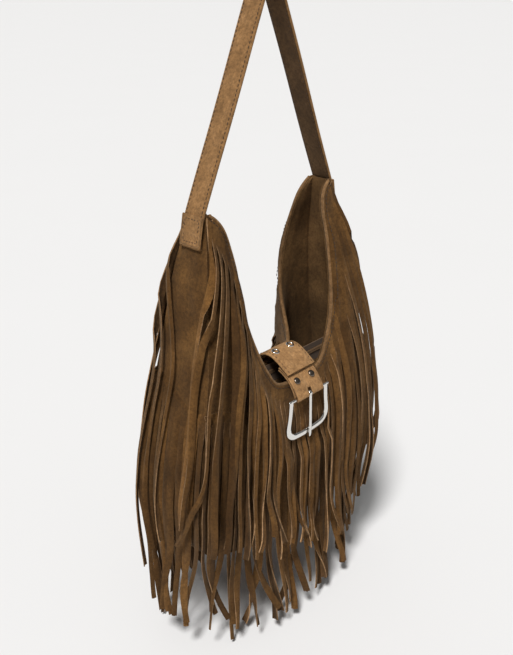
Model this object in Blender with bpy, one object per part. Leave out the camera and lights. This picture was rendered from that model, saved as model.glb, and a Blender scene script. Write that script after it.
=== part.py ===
"""Fringed suede shoulder bag with a buckled closure tab.

X runs across the bag, -Y is its front, +Z is up.  The bag hangs by its
strap: the origin is the underside of the strap's crown.  Lengths are worked
out in millimetres above the plane of the lowest fringe tips, then turned
into world metres by world().
"""

import math

import bmesh
import bpy
from mathutils import Vector

# ---------------------------------------------------------------- dimensions
HORN_Z = 476.0         # top of each horn
STRAP_W = 25.0
STRAP_T = 3.0
STRAP_HORN_X = 92.0    # strap centre line beside the horn top
STRAP_LEAN = 0.4395    # run inward for each mm up
STRAP_R = 13.5         # centre line radius of the crown
CROWN_STEPS = 9        # the middle step is the flat that a peg bears on
PATCH_W, PATCH_T = 27.0, 1.6
# height of that flat's underside above the fringe tips
_half = math.atan(STRAP_LEAN)
_facet = (math.pi - 2 * _half) / CROWN_STEPS / 2
CROWN = HORN_Z + STRAP_HORN_X / STRAP_LEAN - STRAP_R / math.sin(_half) + STRAP_R * math.cos(_facet) - STRAP_T / 2

SUEDE = 1.6            # body panel thickness
LINING = 0.8
FRINGE = 1.2           # fringe sheet thickness
GAP = 0.35             # clearance between touching pieces

BASE_Z = 91.0          # underside of the body
UPPER_STRIPS = 40      # strips in each upper fringe
LOWER_FRONT = 34       # strips in the lower fringe, front or back
LOWER_SIDE = 9         # strips in the lower fringe, each side
SLIT = 0.7             # width of a slit

TAB_W = 43.0
TAB_T = 2.4
LOOP_T = 1.3
BAR_Y, BAR_Z = -65.6, 277.0   # axis of the buckle's bar
BAR_D = 3.4
FRAME_W, FRAME_H = 62.0, 47.0
FRAME_T, FRAME_B = 3.2, 5.6   # frame section: thickness, breadth

ZIP_X0, ZIP_X1 = -46.0, 84.0
ZIP_Z = 290.0
SLIDER_X = -24.0


def world(p):
    return Vector((p[0] / 1000, p[1] / 1000, (p[2] - CROWN) / 1000))


def smooth(t):
    t = min(1.0, max(0.0, t))
    return t * t * (3 - 2 * t)


def curve_through(knots, t):
    """Monotone cubic through (t, value) knots sorted by t."""
    if t <= knots[0][0]:
        return knots[0][1]
    if t >= knots[-1][0]:
        return knots[-1][1]
    n = len(knots)
    slopes = [(knots[i + 1][1] - knots[i][1]) / (knots[i + 1][0] - knots[i][0]) for i in range(n - 1)]
    tangents = [slopes[0]]
    for i in range(1, n - 1):
        a, b = slopes[i - 1], slopes[i]
        tangents.append(0.0 if a * b <= 0 else 2 * a * b / (a + b))
    tangents.append(slopes[-1])
    for i in range(n - 1):
        if t <= knots[i + 1][0]:
            h = knots[i + 1][0] - knots[i][0]
            s = (t - knots[i][0]) / h
            return (
                (2 * s**3 - 3 * s**2 + 1) * knots[i][1]
                + (s**3 - 2 * s**2 + s) * h * tangents[i]
                + (-2 * s**3 + 3 * s**2) * knots[i + 1][1]
                + (s**3 - s**2) * h * tangents[i + 1]
            )


# ------------------------------------------------------------- body geometry
# height -> half width of the side seam
HALF_WIDTH = [(180, 148), (220, 144), (260, 137), (300, 128), (340, 118), (380, 109), (420, 101), (450, 95), (476, 90.2)]
# height -> depth of the side gusset
SIDE_DEPTH = [(91, 88), (122, 90), (180, 94), (220, 94), (260, 90), (300, 84), (340, 74), (380, 61), (420, 46), (450, 33), (476, 25)]
# height -> how far a panel's middle stands out past the side seam
BULGE = [(91, 0), (110, 4), (130, 8), (160, 11), (220, 10), (260, 9), (300, 9), (340, 10), (380, 9), (420, 9), (450, 5), (476, 0)]
# across -> height of the neck edge
NECK = [(0, 290), (22, 292), (32, 295), (38.6, 301), (44, 310), (49.4, 320), (57.7, 340), (63.3, 360), (66.4, 380), (67.6, 400), (68.3, 420), (69.2, 440), (70.6, 452), (73.4, 461), (78.8, 469), (84.5, 474), (87.2, 475.6)]
# lower outline of the body, from the side to the middle of the base
BASE_CURVE = [(148, 180), (147, 152), (141, 128), (129, 109), (110, 98), (80, 93), (40, 91.3), (0, 91)]


def half_width(z):
    return curve_through(HALF_WIDTH, z)


def lean(x, z):
    """How far the back panel is drawn forward under the closure tab."""
    span = 100.0 if z > 300 else 190.0
    g = 0.0 if abs(z - 300) > span else 0.5 * (1 + math.cos(math.pi * (z - 300) / span))
    return 66.0 * g * math.exp(-(abs(x / 63.0) ** 3))


def front_depth(x, z):
    k = max(0.0, 1 - (x / half_width(max(z, 180))) ** 2)
    return curve_through(SIDE_DEPTH, z) / 2 + curve_through(BULGE, z) * k


def back_depth(x, z):
    return front_depth(x, z) - lean(x, z)


def drape(depth, x, z):
    """Depth of a strip that hangs over the body: it never falls back in below the fullest part."""
    top = min(neck_at(x) + 8, HORN_Z)
    q, best = max(z, 105.0), 0.0
    best = depth(x, q)
    while q < top:
        best = max(best, depth(x, q))
        q += 12.0
    return best


def neck_at(x):
    return curve_through(NECK, abs(x))


def outline(count_side, count_base):
    """The body's outline in X and Z, from the left horn round the base to the right horn."""
    heights = [HORN_Z - (HORN_Z - 180) * i / count_side for i in range(count_side)]
    half = [(half_width(z), z) for z in heights]
    lengths = [0.0]
    for a, b in zip(BASE_CURVE, BASE_CURVE[1:]):
        lengths.append(lengths[-1] + math.dist(a, b))
    xs = list(zip(lengths, [p[0] for p in BASE_CURVE]))
    zs = list(zip(lengths, [p[1] for p in BASE_CURVE]))
    for i in range(count_base + 1):
        s = lengths[-1] * i / count_base
        half.append((curve_through(xs, s), curve_through(zs, s)))
    return [(-x, z) for x, z in half] + [(x, z) for x, z in reversed(half[:-1])]


def neck(count, drop=0.0, lift=0.0):
    """The neck edge in X and Z from the left horn to the right horn, `count` steps a side."""
    dense = [(x * 0.2, curve_through(NECK, x * 0.2)) for x in range(int(87.2 / 0.2) + 1)]
    run = [0.0]
    for a, b in zip(dense, dense[1:]):
        run.append(run[-1] + math.dist(a, b))
    half = []
    for i in range(count + 1):
        s = run[-1] * i / count
        j = next(k for k in range(len(run)) if run[k] >= s - 1e-9)
        x, z = dense[j]
        half.append((x, z + lift * math.exp(-((x / 40) ** 2)) - drop))
    return [(-x, z) for x, z in reversed(half)] + half[1:]


# ------------------------------------------------------------------- helpers
def material(name, colour, roughness, metallic=0.0):
    m = bpy.data.materials.get(name) or bpy.data.materials.new(name)
    m.use_nodes = True
    m.diffuse_color = (*colour, 1)
    shader = m.node_tree.nodes["Principled BSDF"]
    shader.inputs["Base Color"].default_value = (*colour, 1)
    shader.inputs["Roughness"].default_value = roughness
    shader.inputs["Metallic"].default_value = metallic
    return m


def mesh_object(name, points, faces, mat, origin=(0, 0, 0)):
    """A mesh object; points in millimetres, origin in millimetres."""
    centre = world(origin) if origin != (0, 0, 0) else Vector((0, 0, 0))
    mesh = bpy.data.meshes.new(name)
    mesh.from_pydata([world(p) - centre for p in points], [], faces)
    mesh.validate()
    bm = bmesh.new()
    bm.from_mesh(mesh)
    bmesh.ops.recalc_face_normals(bm, faces=bm.faces[:])
    bm.to_mesh(mesh)
    bm.free()
    obj = bpy.data.objects.new(name, mesh)
    obj.location = centre
    bpy.context.scene.collection.objects.link(obj)
    mesh.materials.append(mat)
    return obj


def slab(name, outer, inner, faces, mat, origin=(0, 0, 0)):
    """One closed sheet: an outer skin, an inner skin, and walls along the open edges."""
    n = len(outer)
    edges = {}
    for f in faces:
        for a, b in zip(f, f[1:] + f[:1]):
            edges[(a, b)] = edges.get((a, b), 0) + 1
    walls = [(a, b, b + n, a + n) for a, b in edges if (b, a) not in edges]
    flipped = [tuple(i + n for i in reversed(f)) for f in faces]
    walls = [tuple(reversed(w)) for w in walls]
    used = sorted({i for f in faces for i in f} | {i + n for f in faces for i in f})
    index = {old: new for new, old in enumerate(used)}
    points = list(outer) + list(inner)
    all_faces = [tuple(index[i] for i in f) for f in list(faces) + flipped + walls]
    obj = mesh_object(name, [points[i] for i in used], all_faces, mat, origin)
    return obj


def grid_faces(rows, cols):
    return [
        (r * cols + c, r * cols + c + 1, (r + 1) * cols + c + 1, (r + 1) * cols + c)
        for r in range(rows - 1)
        for c in range(cols - 1)
    ]


def ribbon(name, centre, thickness, x0, x1, mat, axis="x", origin=(0, 0, 0), cut=None):
    """A strip of even thickness that follows `centre`; `axis` is the way its width runs.

    For axis x the centre line is (y, z) pairs, for axis y it is (x, z) pairs.
    `cut` is (first point, last point, half width) of a slot down its middle.
    """
    n = len(centre)
    sides = []
    for i in range(n):
        a = centre[max(0, i - 1)]
        b = centre[min(n - 1, i + 1)]
        d = Vector((b[0] - a[0], b[1] - a[1])).normalized()
        turn = Vector((-d.y, d.x))
        if 0 < i < n - 1:
            p = Vector(centre[i])
            d1 = (p - Vector(centre[i - 1])).normalized()
            d2 = (Vector(centre[i + 1]) - p).normalized()
            turn /= max(0.5, math.sqrt((1 + d1.dot(d2)) / 2))
        sides.append(turn)
    widths = [x0, x1] if cut is None else [x0, -cut[2], cut[2], x1]
    outer, inner = [], []
    for p, t in zip(centre, sides):
        for w in widths:
            hi = Vector(p) + t * thickness / 2
            lo = Vector(p) - t * thickness / 2
            if axis == "x":
                outer.append((w, hi.x, hi.y))
                inner.append((w, lo.x, lo.y))
            else:
                outer.append((hi.x, w, hi.y))
                inner.append((lo.x, w, lo.y))
    faces = grid_faces(n, len(widths))
    if cut is not None:
        faces = [f for k, f in enumerate(faces) if not (k % 3 == 1 and cut[0] <= k // 3 < cut[1])]
    return slab(name, outer, inner, faces, mat, origin)


def shade(obj, angle=35.0):
    obj.data.shade_smooth()
    obj.data.set_sharp_from_angle(angle=math.radians(angle))
    return obj


def disc(name, centre, direction, profile, mat, hole=0.0, sides=20, origin=(0, 0, 0)):
    """A turned piece: profile is (radius, along) pairs from its far end to its near end."""
    d = Vector(direction).normalized()
    u = d.orthogonal().normalized()
    v = d.cross(u)
    c = Vector(centre)
    points, faces = [], []
    rings = len(profile)
    for radius, along in profile:
        for k in range(sides):
            a = 2 * math.pi * k / sides
            points.append(tuple(c + d * along + (u * math.cos(a) + v * math.sin(a)) * radius))
    for r in range(rings - 1):
        for k in range(sides):
            n = (k + 1) % sides
            faces.append((r * sides + k, r * sides + n, (r + 1) * sides + n, (r + 1) * sides + k))
    if hole:
        r = rings - 1
        for k in range(sides):
            n = (k + 1) % sides
            faces.append((r * sides + k, r * sides + n, n, k))
    else:
        faces.append(tuple(range(sides)))
        faces.append(tuple((rings - 1) * sides + k for k in reversed(range(sides))))
    return shade(mesh_object(name, points, faces, mat, origin))


def arc(cx, cz, r, a0, a1, steps):
    return [
        (cx + r * math.cos(math.radians(a0 + (a1 - a0) * i / steps)), cz + r * math.sin(math.radians(a0 + (a1 - a0) * i / steps)))
        for i in range(steps + 1)
    ]


# --------------------------------------------------------------------- start
for old in list(bpy.data.objects):
    bpy.data.objects.remove(old, do_unlink=True)

SUEDE_MAT = material("suede_brown", (0.23, 0.125, 0.055), 0.9)
LINING_MAT = material("lining_dark_brown", (0.075, 0.04, 0.022), 0.85)
TAPE_MAT = material("zip_tape_brown", (0.12, 0.07, 0.04), 0.8)
NICKEL = material("nickel_polished", (0.78, 0.77, 0.74), 0.18, 1.0)
DARK_NICKEL = material("nickel_dark", (0.16, 0.14, 0.12), 0.35, 1.0)

# -------------------------------------------------------------- body panels
SIDE_STEPS, BASE_STEPS, ACROSS = 9, 8, 9
edge_line = outline(SIDE_STEPS, BASE_STEPS)
STEPS = len(edge_line)


def panel_points(depth, sign, lift, inset, offset):
    """Rows from the neck edge to the outline, laid on the front or the back."""
    neck_line = neck((STEPS - 1) // 2, lift=lift)
    rows = []
    for j in range(ACROSS + 1):
        v = j / ACROSS
        for (nx, nz), (ox, oz) in zip(neck_line, edge_line):
            if inset:
                length = math.hypot(ox - nx, oz - nz)
                k = min(0.3, inset / max(length, 1e-6))
                ox2, oz2 = ox + (nx - ox) * k, oz + (nz - oz) * k
            else:
                ox2, oz2 = ox, oz
            x, z = nx + (ox2 - nx) * v, nz + (oz2 - nz) * v
            rows.append((x, sign * (depth(x, z) + offset), z))
    return rows


def body_panel(name, depth, sign, lift):
    outer = panel_points(depth, sign, lift, 0, 0.0)
    inner = panel_points(depth, sign, lift, 0, -SUEDE)
    return shade(slab(name, outer, inner, grid_faces(ACROSS + 1, STEPS), SUEDE_MAT))


body_panel("front_panel", front_depth, -1, 0.0)
body_panel("back_panel", back_depth, 1, 10.0)


def inset_outline(d):
    """The outline moved inward by d."""
    moved = []
    n = len(edge_line)
    for i, p in enumerate(edge_line):
        a, b = edge_line[max(0, i - 1)], edge_line[min(n - 1, i + 1)]
        t = Vector((b[0] - a[0], b[1] - a[1])).normalized()
        moved.append((p[0] - t.y * d * 1.0, p[1] + t.x * d))
    moved[0] = (moved[0][0], HORN_Z)
    moved[-1] = (moved[-1][0], HORN_Z)
    return moved


# the gusset is one strip that runs down one side, under the base and up the other
gusset_outer, gusset_inner = [], []
for d, skin in ((0.0, gusset_outer), (SUEDE, gusset_inner)):
    for (x, z), (rx, rz) in zip(inset_outline(d), edge_line):
        y0 = -(front_depth(rx, rz) - SUEDE - GAP)
        y1 = back_depth(rx, rz) - SUEDE - GAP
        for k in range(4):
            skin.append((x, y0 + (y1 - y0) * k / 3, z))
shade(slab("side_and_base_gusset", gusset_outer, gusset_inner, grid_faces(STEPS, 4), SUEDE_MAT))

# ------------------------------------------------------------------- lining
# front sheet, gusset strip and back sheet, sewn edge to edge into one sack
INSET = SUEDE + GAP + 0.75


def lining_skin(d):
    line = inset_outline(d)
    neck_front = neck((STEPS - 1) // 2, drop=1.5)
    neck_back = neck((STEPS - 1) // 2, drop=1.5, lift=10.0)
    rows = []
    for j in range(ACROSS + 1):
        v = j / ACROSS
        for (nx, nz), (ox, oz) in zip(neck_front, line):
            nx = max(-86.5, min(86.5, nx))
            x, z = nx + (ox - nx) * v, nz + (oz - nz) * v
            rows.append((x, -(front_depth(x, z) - d), z))
    for j in range(1, 3):
        for i, (ox, oz) in enumerate(line):
            y0, y1 = -(front_depth(ox, oz) - d), back_depth(ox, oz) - d
            rows.append((ox, y0 + (y1 - y0) * j / 3, oz))
    for j in range(ACROSS, -1, -1):
        v = j / ACROSS
        for (nx, nz), (ox, oz) in zip(neck_back, line):
            nx = max(-86.5, min(86.5, nx))
            x, z = nx + (ox - nx) * v, nz + (oz - nz) * v
            rows.append((x, back_depth(x, z) - d, z))
    return rows


shade(slab("lining", lining_skin(INSET), lining_skin(INSET + LINING), grid_faces(2 * ACROSS + 4, STEPS), LINING_MAT))

# ------------------------------------------------------------ fringe sheets
# across (fraction of the half width) -> height where the slits start
SLIT_TOP = [(0, 258), (0.2, 272), (0.4, 297), (0.6, 306), (0.7, 332), (0.84, 388), (0.94, 434), (1.0, 458)]
UPPER_TIP = [(-1.0, 172), (-0.85, 150), (-0.6, 134), (-0.3, 112), (0.0, 84), (0.3, 66), (0.6, 60), (0.85, 66), (1.0, 82)]
LOWER_TIP_MEAN = 14.0


HANG_Z = 138.0         # below this the strips hang clear of the body
LOWER_OFF = 1.7        # the lower fringe hangs this far off the panels


def sheet_offset(x, z):
    """An upper fringe lies on the panel near the neck and over the lower fringe below."""
    return 1.5 + (LOWER_OFF + FRINGE + 0.7) * smooth((min(neck_at(x), HORN_Z) - 20 - z) / 26)


def upper_point(rho, z, depth, sign, off, lift):
    zz = max(z, 185.0)
    x = rho * (half_width(zz) + 0.8)
    return (x, sign * (drape(depth, x, z) + off), z)


def upper_fringe(name, depth, sign, lift):
    """A yoke shaped to the neck whose lower part is cut into strips."""
    points_out, points_in, faces = [], [], []
    n = UPPER_STRIPS
    LEVELS = 6

    def add(rho, z):
        off = sheet_offset(rho * half_width(max(z, 185)), z)
        points_out.append(upper_point(rho, z, depth, sign, off + FRINGE, lift))
        points_in.append(upper_point(rho, z, depth, sign, off, lift))
        return len(points_out) - 1

    columns = []
    for k in range(n):
        for side in (0, 1):
            rho = -1 + 2 * (k + side) / n
            mid = 0.5 * (half_width(200) + 3)
            rho += (-1 if side else 1) * (SLIT / 2) / mid * 0.5
            rho = max(-1.0, min(1.0, rho))
            # top edge of the yoke on this line
            lo, hi = 250.0, 475.0
            for _ in range(40):
                zc = (lo + hi) / 2
                x = rho * half_width(zc)
                if zc > neck_at(x) + lift * math.exp(-((x / 40) ** 2)):
                    hi = zc
                else:
                    lo = zc
            top = lo
            if abs(rho) > 0.93:
                top = HORN_Z - 2.0 - 6.0 * (1 - abs(rho)) / 0.07
            start = min(curve_through(SLIT_TOP, abs(rho)) + (lift * 0.6 * math.exp(-((rho * 3) ** 2)) if lift else 0.0), top - 8)
            tip = curve_through(UPPER_TIP, rho * (1 if sign < 0 else -1)) + 5 * math.sin(k * 2.4)
            zs = [top, (top + start) / 2, start]
            hang = max(HANG_Z, tip + 8)
            stops = [start + (hang - start) * q / (LEVELS - 1) for q in range(1, LEVELS)] + [tip]
            columns.append([add(rho, z) for z in zs + stops])
    rows = len(columns[0])
    for c in range(2 * n - 1):
        a, b = columns[c], columns[c + 1]
        for r in range(rows - 1):
            if c % 2 == 0 or r < 2:
                faces.append((a[r], b[r], b[r + 1], a[r + 1]))
    return shade(slab(name, points_out, points_in, faces, SUEDE_MAT))


upper_fringe("upper_fringe_front", front_depth, -1, 0.0)
upper_fringe("upper_fringe_back", back_depth, 1, 10.0)


def lower_head(x):
    """Height of the lower fringe's sewn edge, dipping towards the middle of the front and back."""
    return 238 + 78 * smooth(abs(x) / 132)


def lower_fringe():
    """One sheet wrapped right round the body below the upper fringe; its ends meet on the left side seam."""
    ring = []
    for k in range(LOWER_FRONT):
        ring.append(("front", -1 + 2 * k / LOWER_FRONT, -1 + 2 * (k + 1) / LOWER_FRONT))
    for k in range(LOWER_SIDE):
        ring.append(("right", k / LOWER_SIDE, (k + 1) / LOWER_SIDE))
    for k in range(LOWER_FRONT):
        ring.append(("back", 1 - 2 * k / LOWER_FRONT, 1 - 2 * (k + 1) / LOWER_FRONT))
    for k in range(LOWER_SIDE):
        ring.append(("left", k / LOWER_SIDE, (k + 1) / LOWER_SIDE))

    def place(part, t, z, off):
        zz = max(z, 185.0)
        a = half_width(zz)
        if part == "front":
            x = t * (a + off)
            return (x, -(drape(front_depth, x, z) + off), z)
        if part == "back":
            x = t * (a + off)
            return (x, drape(back_depth, x, z) + off, z)
        f = drape(front_depth, a, z) + off
        b = drape(back_depth, a, z) + off
        if part == "right":
            return (a + off, -f + (f + b) * t, z)
        return (-(a + off), b - (f + b) * t, z)

    outer, inner, faces, columns = [], [], [], []
    count = len(ring)
    for k, (part, t0, t1) in enumerate(ring):
        span = {"front": 275.0, "back": 275.0}.get(part, 92.0)
        trim = SLIT / 2 / span * (2 if part in ("front", "back") else 1)
        grow = 1 if t1 > t0 else -1
        for side, t in ((0, t0 + grow * trim), (1, t1 - grow * trim)):
            x_at = place(part, t, 250, 0)[0]
            head = lower_head(x_at)
            tip = LOWER_TIP_MEAN + 12 * math.sin(k * 1.9) * math.cos(k * 0.7)
            tip = max(0.0, tip)
            heights = [head, head - 9] + [head - 9 + (HANG_Z - head + 9) * q / 4 for q in range(1, 5)] + [tip]
            column = []
            for z in heights:
                outer.append(place(part, t, z, LOWER_OFF + FRINGE))
                inner.append(place(part, t, z, LOWER_OFF))
                column.append(len(outer) - 1)
            columns.append(column)
    for c in range(2 * count - 1):
        a, b = columns[c], columns[c + 1]
        for r in range(len(a) - 1):
            if c % 2 == 0 or r < 1:
                faces.append((a[r], b[r], b[r + 1], a[r + 1]))
    return shade(slab("lower_fringe", outer, inner, faces, SUEDE_MAT))


lower_fringe()

# ------------------------------------------------------------ shoulder strap
half_angle = math.atan(STRAP_LEAN)
apex_z = HORN_Z + STRAP_HORN_X / STRAP_LEAN
centre_z = apex_z - STRAP_R / math.sin(half_angle)
tangent = math.degrees(half_angle)
crown = arc(0.0, centre_z, STRAP_R, 180 - tangent, tangent, CROWN_STEPS)
strap_line = [(-half_width(z) - STRAP_T / 2 - 0.45, z) for z in (444.0, 460.0)] + [(-STRAP_HORN_X - 0.1, HORN_Z)]
for i in range(1, 5):
    k = i / 5
    strap_line.append((-STRAP_HORN_X + (crown[0][0] + STRAP_HORN_X) * k, HORN_Z + (crown[0][1] - HORN_Z) * k))
strap_line += crown
strap_line += [(-x, z) for x, z in reversed(strap_line[:7])]
shade(ribbon("shoulder_strap", strap_line, STRAP_T, -STRAP_W / 2, STRAP_W / 2, SUEDE_MAT, axis="y"))

for side, name in ((-1, "strap_patch_left"), (1, "strap_patch_right")):
    line = [(side * (half_width(z) + 0.45 + STRAP_T + 0.4 + PATCH_T / 2), z) for z in (441.5, 458.0, 474.5)]
    if side > 0:
        line = list(reversed(line))
    shade(ribbon(name, line, PATCH_T, -PATCH_W / 2, PATCH_W / 2, SUEDE_MAT, axis="y"))

# --------------------------------------------------------------- closure tab
tab_line = [(back_depth(TAB_W / 2, z) + sheet_offset(TAB_W / 2, z) + FRINGE + 3.0, z) for z in (262.0, 271.0, 280.0, 289.0, 296.0)]
tab_line += [(-9.4, 303.8), (-14.0, 309.8), (-20.0, 313.8), (-26.5, 315.3), (-33.0, 314.2), (-40.0, 310.8), (-47.5, 306.0), (-54.5, 301.0)]
shade(ribbon("closure_tab", tab_line, TAB_T, -TAB_W / 2, TAB_W / 2, SUEDE_MAT))

# loop that carries the buckle: a strip doubled round the bar, slotted for the prong
LOOP_R = BAR_D / 2 + GAP + LOOP_T / 2
loop_line = [(-41.0, 304.6), (-46.5, 302.2), (-52.0, 298.4), (-57.4, 293.4), (-62.2, 287.6), (-65.6, 282.8)]
round_bar = [(BAR_Y + LOOP_R * math.cos(math.radians(a)), BAR_Z + LOOP_R * math.sin(math.radians(a))) for a in (150, 180, 210, 240, 270, 300, 330, 360, 390)]
loop_line += round_bar
loop_line += [(-61.2, 283.4), (-57.8, 289.2), (-52.8, 294.9), (-46.6, 299.2), (-40.8, 302.0)]
shade(ribbon("buckle_loop", loop_line, LOOP_T, -20.5, 20.5, SUEDE_MAT, cut=(5, 15, 2.6)))

# eyelets on the tab's crown
for side, name in ((-1, "tab_eyelet_left"), (1, "tab_eyelet_right")):
    n = Vector((0, -0.22, 1)).normalized()
    c = Vector((side * 11.5, -28.6, 315.1)) + n * (TAB_T / 2 + 0.2)
    profile = [(2.3, 0.1), (4.5, 0.1), (4.4, 0.75), (3.4, 1.25), (2.3, 0.9)]
    disc(name, c, n, profile, NICKEL, hole=1.0, sides=16)

# rivets through the loop
for side, name in ((-1, "loop_rivet_left"), (1, "loop_rivet_right")):
    n = Vector((0, -0.66, 0.75)).normalized()
    c = Vector((side * 11.5, -58.2, 292.5)) + n * (LOOP_T / 2 + 0.15)
    disc(name, c, n, [(3.6, 0.15), (3.8, 0.6), (3.0, 1.3), (1.6, 1.75)], DARK_NICKEL, sides=14)

# magnetic clasp: one half on the front yoke, the other under the loop
front_face = 0.4 + max(front_depth(0, z) + sheet_offset(0, z) + FRINGE for z in (269, 272, 275, 278, 281))
disc("clasp_front_half", (0, -(front_face + 0.4), 275.0), (0, -1, 0), [(6.0, 0), (6.0, 1.2), (5.4, 1.7)], DARK_NICKEL, sides=20)
disc("clasp_tab_half", (0, -(front_face + 0.4 + 1.7 + 0.35), 275.0), (0, -1, 0), [(5.6, 0), (5.9, 0.4), (4.6, 1.0)], DARK_NICKEL, sides=20)

# -------------------------------------------------------------------- buckle
def rod(points, half_t, half_b, closed=False):
    """Rounded bar section swept along points in the XZ plane; returns points and faces."""
    section = []
    for k in range(8):
        a = math.pi / 8 + k * math.pi / 4
        section.append((math.copysign(abs(math.cos(a)) ** 0.6, math.cos(a)) * half_b, math.copysign(abs(math.sin(a)) ** 0.6, math.sin(a)) * half_t))
    verts, faces = [], []
    n = len(points)
    for i in range(n):
        a = Vector(points[(i - 1) % n] if closed else points[max(0, i - 1)])
        b = Vector(points[(i + 1) % n] if closed else points[min(n - 1, i + 1)])
        d = (b - a).normalized()
        side = Vector((d.z, 0, -d.x))
        for s, t in section:
            p = Vector(points[i]) + side * s + Vector((0, t, 0))
            verts.append(tuple(p))
    m = len(section)
    for i in range(n if closed else n - 1):
        j = (i + 1) % n
        for k in range(m):
            l = (k + 1) % m
            faces.append((i * m + k, i * m + l, j * m + l, j * m + k))
    if not closed:
        faces.append(tuple(range(m)))
        faces.append(tuple((n - 1) * m + k for k in reversed(range(m))))
    return verts, faces


def frame_path():
    """Western frame: bar between two ears, arms that widen downward, soft lower corners."""
    top, bottom = BAR_Z, BAR_Z - FRAME_H + FRAME_B / 2
    wt, wb, r = FRAME_W / 2 - 3.4, FRAME_W / 2 - 0.2, 12.0
    left = [(-wt, top + 1.0), (-wt - 0.6, top - 9), (-wt - 1.6, top - 19), (-wb, bottom + r + 3)]
    corner = [(-wb + r - r * math.cos(math.radians(a)), bottom + r - r * math.sin(math.radians(a))) for a in (10, 30, 50, 70, 90)]
    sag = [(-10, bottom - 0.8), (0, bottom - 1.0)]
    half = left + corner + sag
    path = half + [(-x, z) for x, z in reversed(half[:-1])]
    return [(x, BAR_Y, z) for x, z in path]


verts, faces = rod(frame_path(), FRAME_T / 2, FRAME_B / 2)
frame = mesh_object("buckle_frame", verts, faces, NICKEL, origin=(0, BAR_Y, BAR_Z))
bar_points, bar_faces = [], []
bar_sides = 12
bar_half = FRAME_W / 2 + 0.4
for x in (-bar_half, -bar_half + 0.8, bar_half - 0.8, bar_half):
    r = BAR_D / 2 if abs(x) < bar_half else BAR_D / 2 - 0.5
    for k in range(bar_sides):
        a = 2 * math.pi * k / bar_sides
        bar_points.append((x, BAR_Y + r * math.cos(a), BAR_Z + r * math.sin(a)))
for i in range(3):
    for k in range(bar_sides):
        l = (k + 1) % bar_sides
        bar_faces.append((i * bar_sides + k, i * bar_sides + l, (i + 1) * bar_sides + l, (i + 1) * bar_sides + k))
bar_faces.append(tuple(range(bar_sides)))
bar_faces.append(tuple(3 * bar_sides + k for k in reversed(range(bar_sides))))
bar = mesh_object("buckle_bar_tool", bar_points, bar_faces, NICKEL, origin=(0, BAR_Y, BAR_Z))
bar.hide_render = True
bar.display_type = "WIRE"
join = frame.modifiers.new("bar", "BOOLEAN")
join.operation = "UNION"
join.object = bar
shade(frame, 40)

# prong: an eye that turns on the bar and a tongue that rests on the frame's lower side
prong_r = BAR_D / 2 + GAP
eye_out = prong_r + 1.5
tip_y = BAR_Y - FRAME_T / 2 - GAP - 1.1
PRONG_LEN = FRAME_H + 4.0
angles = [math.radians(a) for a in range(-60, 241, 25)]
profile_out = [(BAR_Y + eye_out * math.cos(a), BAR_Z + eye_out * math.sin(a)) for a in angles]
profile_in = [(BAR_Y + prong_r * math.cos(a), BAR_Z + prong_r * math.sin(a)) for a in angles]
tongue_out = [(BAR_Y - 3.2, BAR_Z - 8), (BAR_Y - 3.6, BAR_Z - 20), (tip_y - 1.1, BAR_Z - 36), (tip_y - 1.2, BAR_Z - FRAME_H + 1), (tip_y - 0.3, BAR_Z - PRONG_LEN)]
tongue_in = [(BAR_Y - 1.2, BAR_Z - 8), (BAR_Y - 1.6, BAR_Z - 20), (tip_y + 1.1, BAR_Z - 36), (tip_y + 1.1, BAR_Z - FRAME_H + 1), (tip_y + 0.7, BAR_Z - PRONG_LEN)]
line_out = profile_out + tongue_out
line_in = profile_in + tongue_in
outer = [(w, y, z) for (y, z) in line_out for w in (-1.9, 1.9)]
inner = [(w, y, z) for (y, z) in line_in for w in (-1.9, 1.9)]
shade(slab("buckle_prong", outer, inner, grid_faces(len(line_out), 2), NICKEL, origin=(0, BAR_Y, BAR_Z)))

# ---------------------------------------------------------------- zip pocket
# a flat pouch that hangs behind the neck edge of the back panel, its zip running across
POCKET_Y = -21.0


def zip_sheet(name, x0, x1, z0, z1, y, thick, mat, nx=2, nz=1):
    outer, inner = [], []
    for j in range(nz + 1):
        for i in range(nx + 1):
            x = x0 + (x1 - x0) * i / nx
            z = z0 + (z1 - z0) * j / nz
            outer.append((x, y - thick, z))
            inner.append((x, y, z))
    return slab(name, outer, inner, grid_faces(nz + 1, nx + 1), mat)


zip_sheet("inner_pocket", ZIP_X0 - 10, ZIP_X1 + 8, 176.0, 276.5, POCKET_Y, 1.6, LINING_MAT)
zip_sheet("zip_tape_lower", ZIP_X0, ZIP_X1, 277.0, ZIP_Z - 2.6, POCKET_Y, 0.8, TAPE_MAT)
zip_sheet("zip_tape_upper", ZIP_X0, ZIP_X1, ZIP_Z + 2.6, 299.5, POCKET_Y, 0.8, TAPE_MAT)
zip_sheet("zip_coil_lower", ZIP_X0 + 6, ZIP_X1 - 6, ZIP_Z - 2.2, ZIP_Z - 0.2, POCKET_Y + 0.2, 1.4, DARK_NICKEL)
zip_sheet("zip_coil_upper", ZIP_X0 + 6, ZIP_X1 - 6, ZIP_Z + 0.2, ZIP_Z + 2.2, POCKET_Y + 0.2, 1.4, DARK_NICKEL)


def box(name, x0, x1, y0, y1, z0, z1, mat, origin=(0, 0, 0)):
    points = [(x, y, z) for x in (x0, x1) for y in (y0, y1) for z in (z0, z1)]
    faces = [(0, 1, 3, 2), (4, 6, 7, 5), (0, 4, 5, 1), (2, 3, 7, 6), (0, 2, 6, 4), (1, 5, 7, 3)]
    return mesh_object(name, points, faces, mat, origin)


for x, name in ((ZIP_X0 + 3.0, "zip_stop_left"), (ZIP_X1 - 3.0, "zip_stop_right")):
    box(name, x - 1.2, x + 1.2, POCKET_Y - 2.0, POCKET_Y + 0.9, ZIP_Z - 2.3, ZIP_Z + 2.3, DARK_NICKEL)

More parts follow.
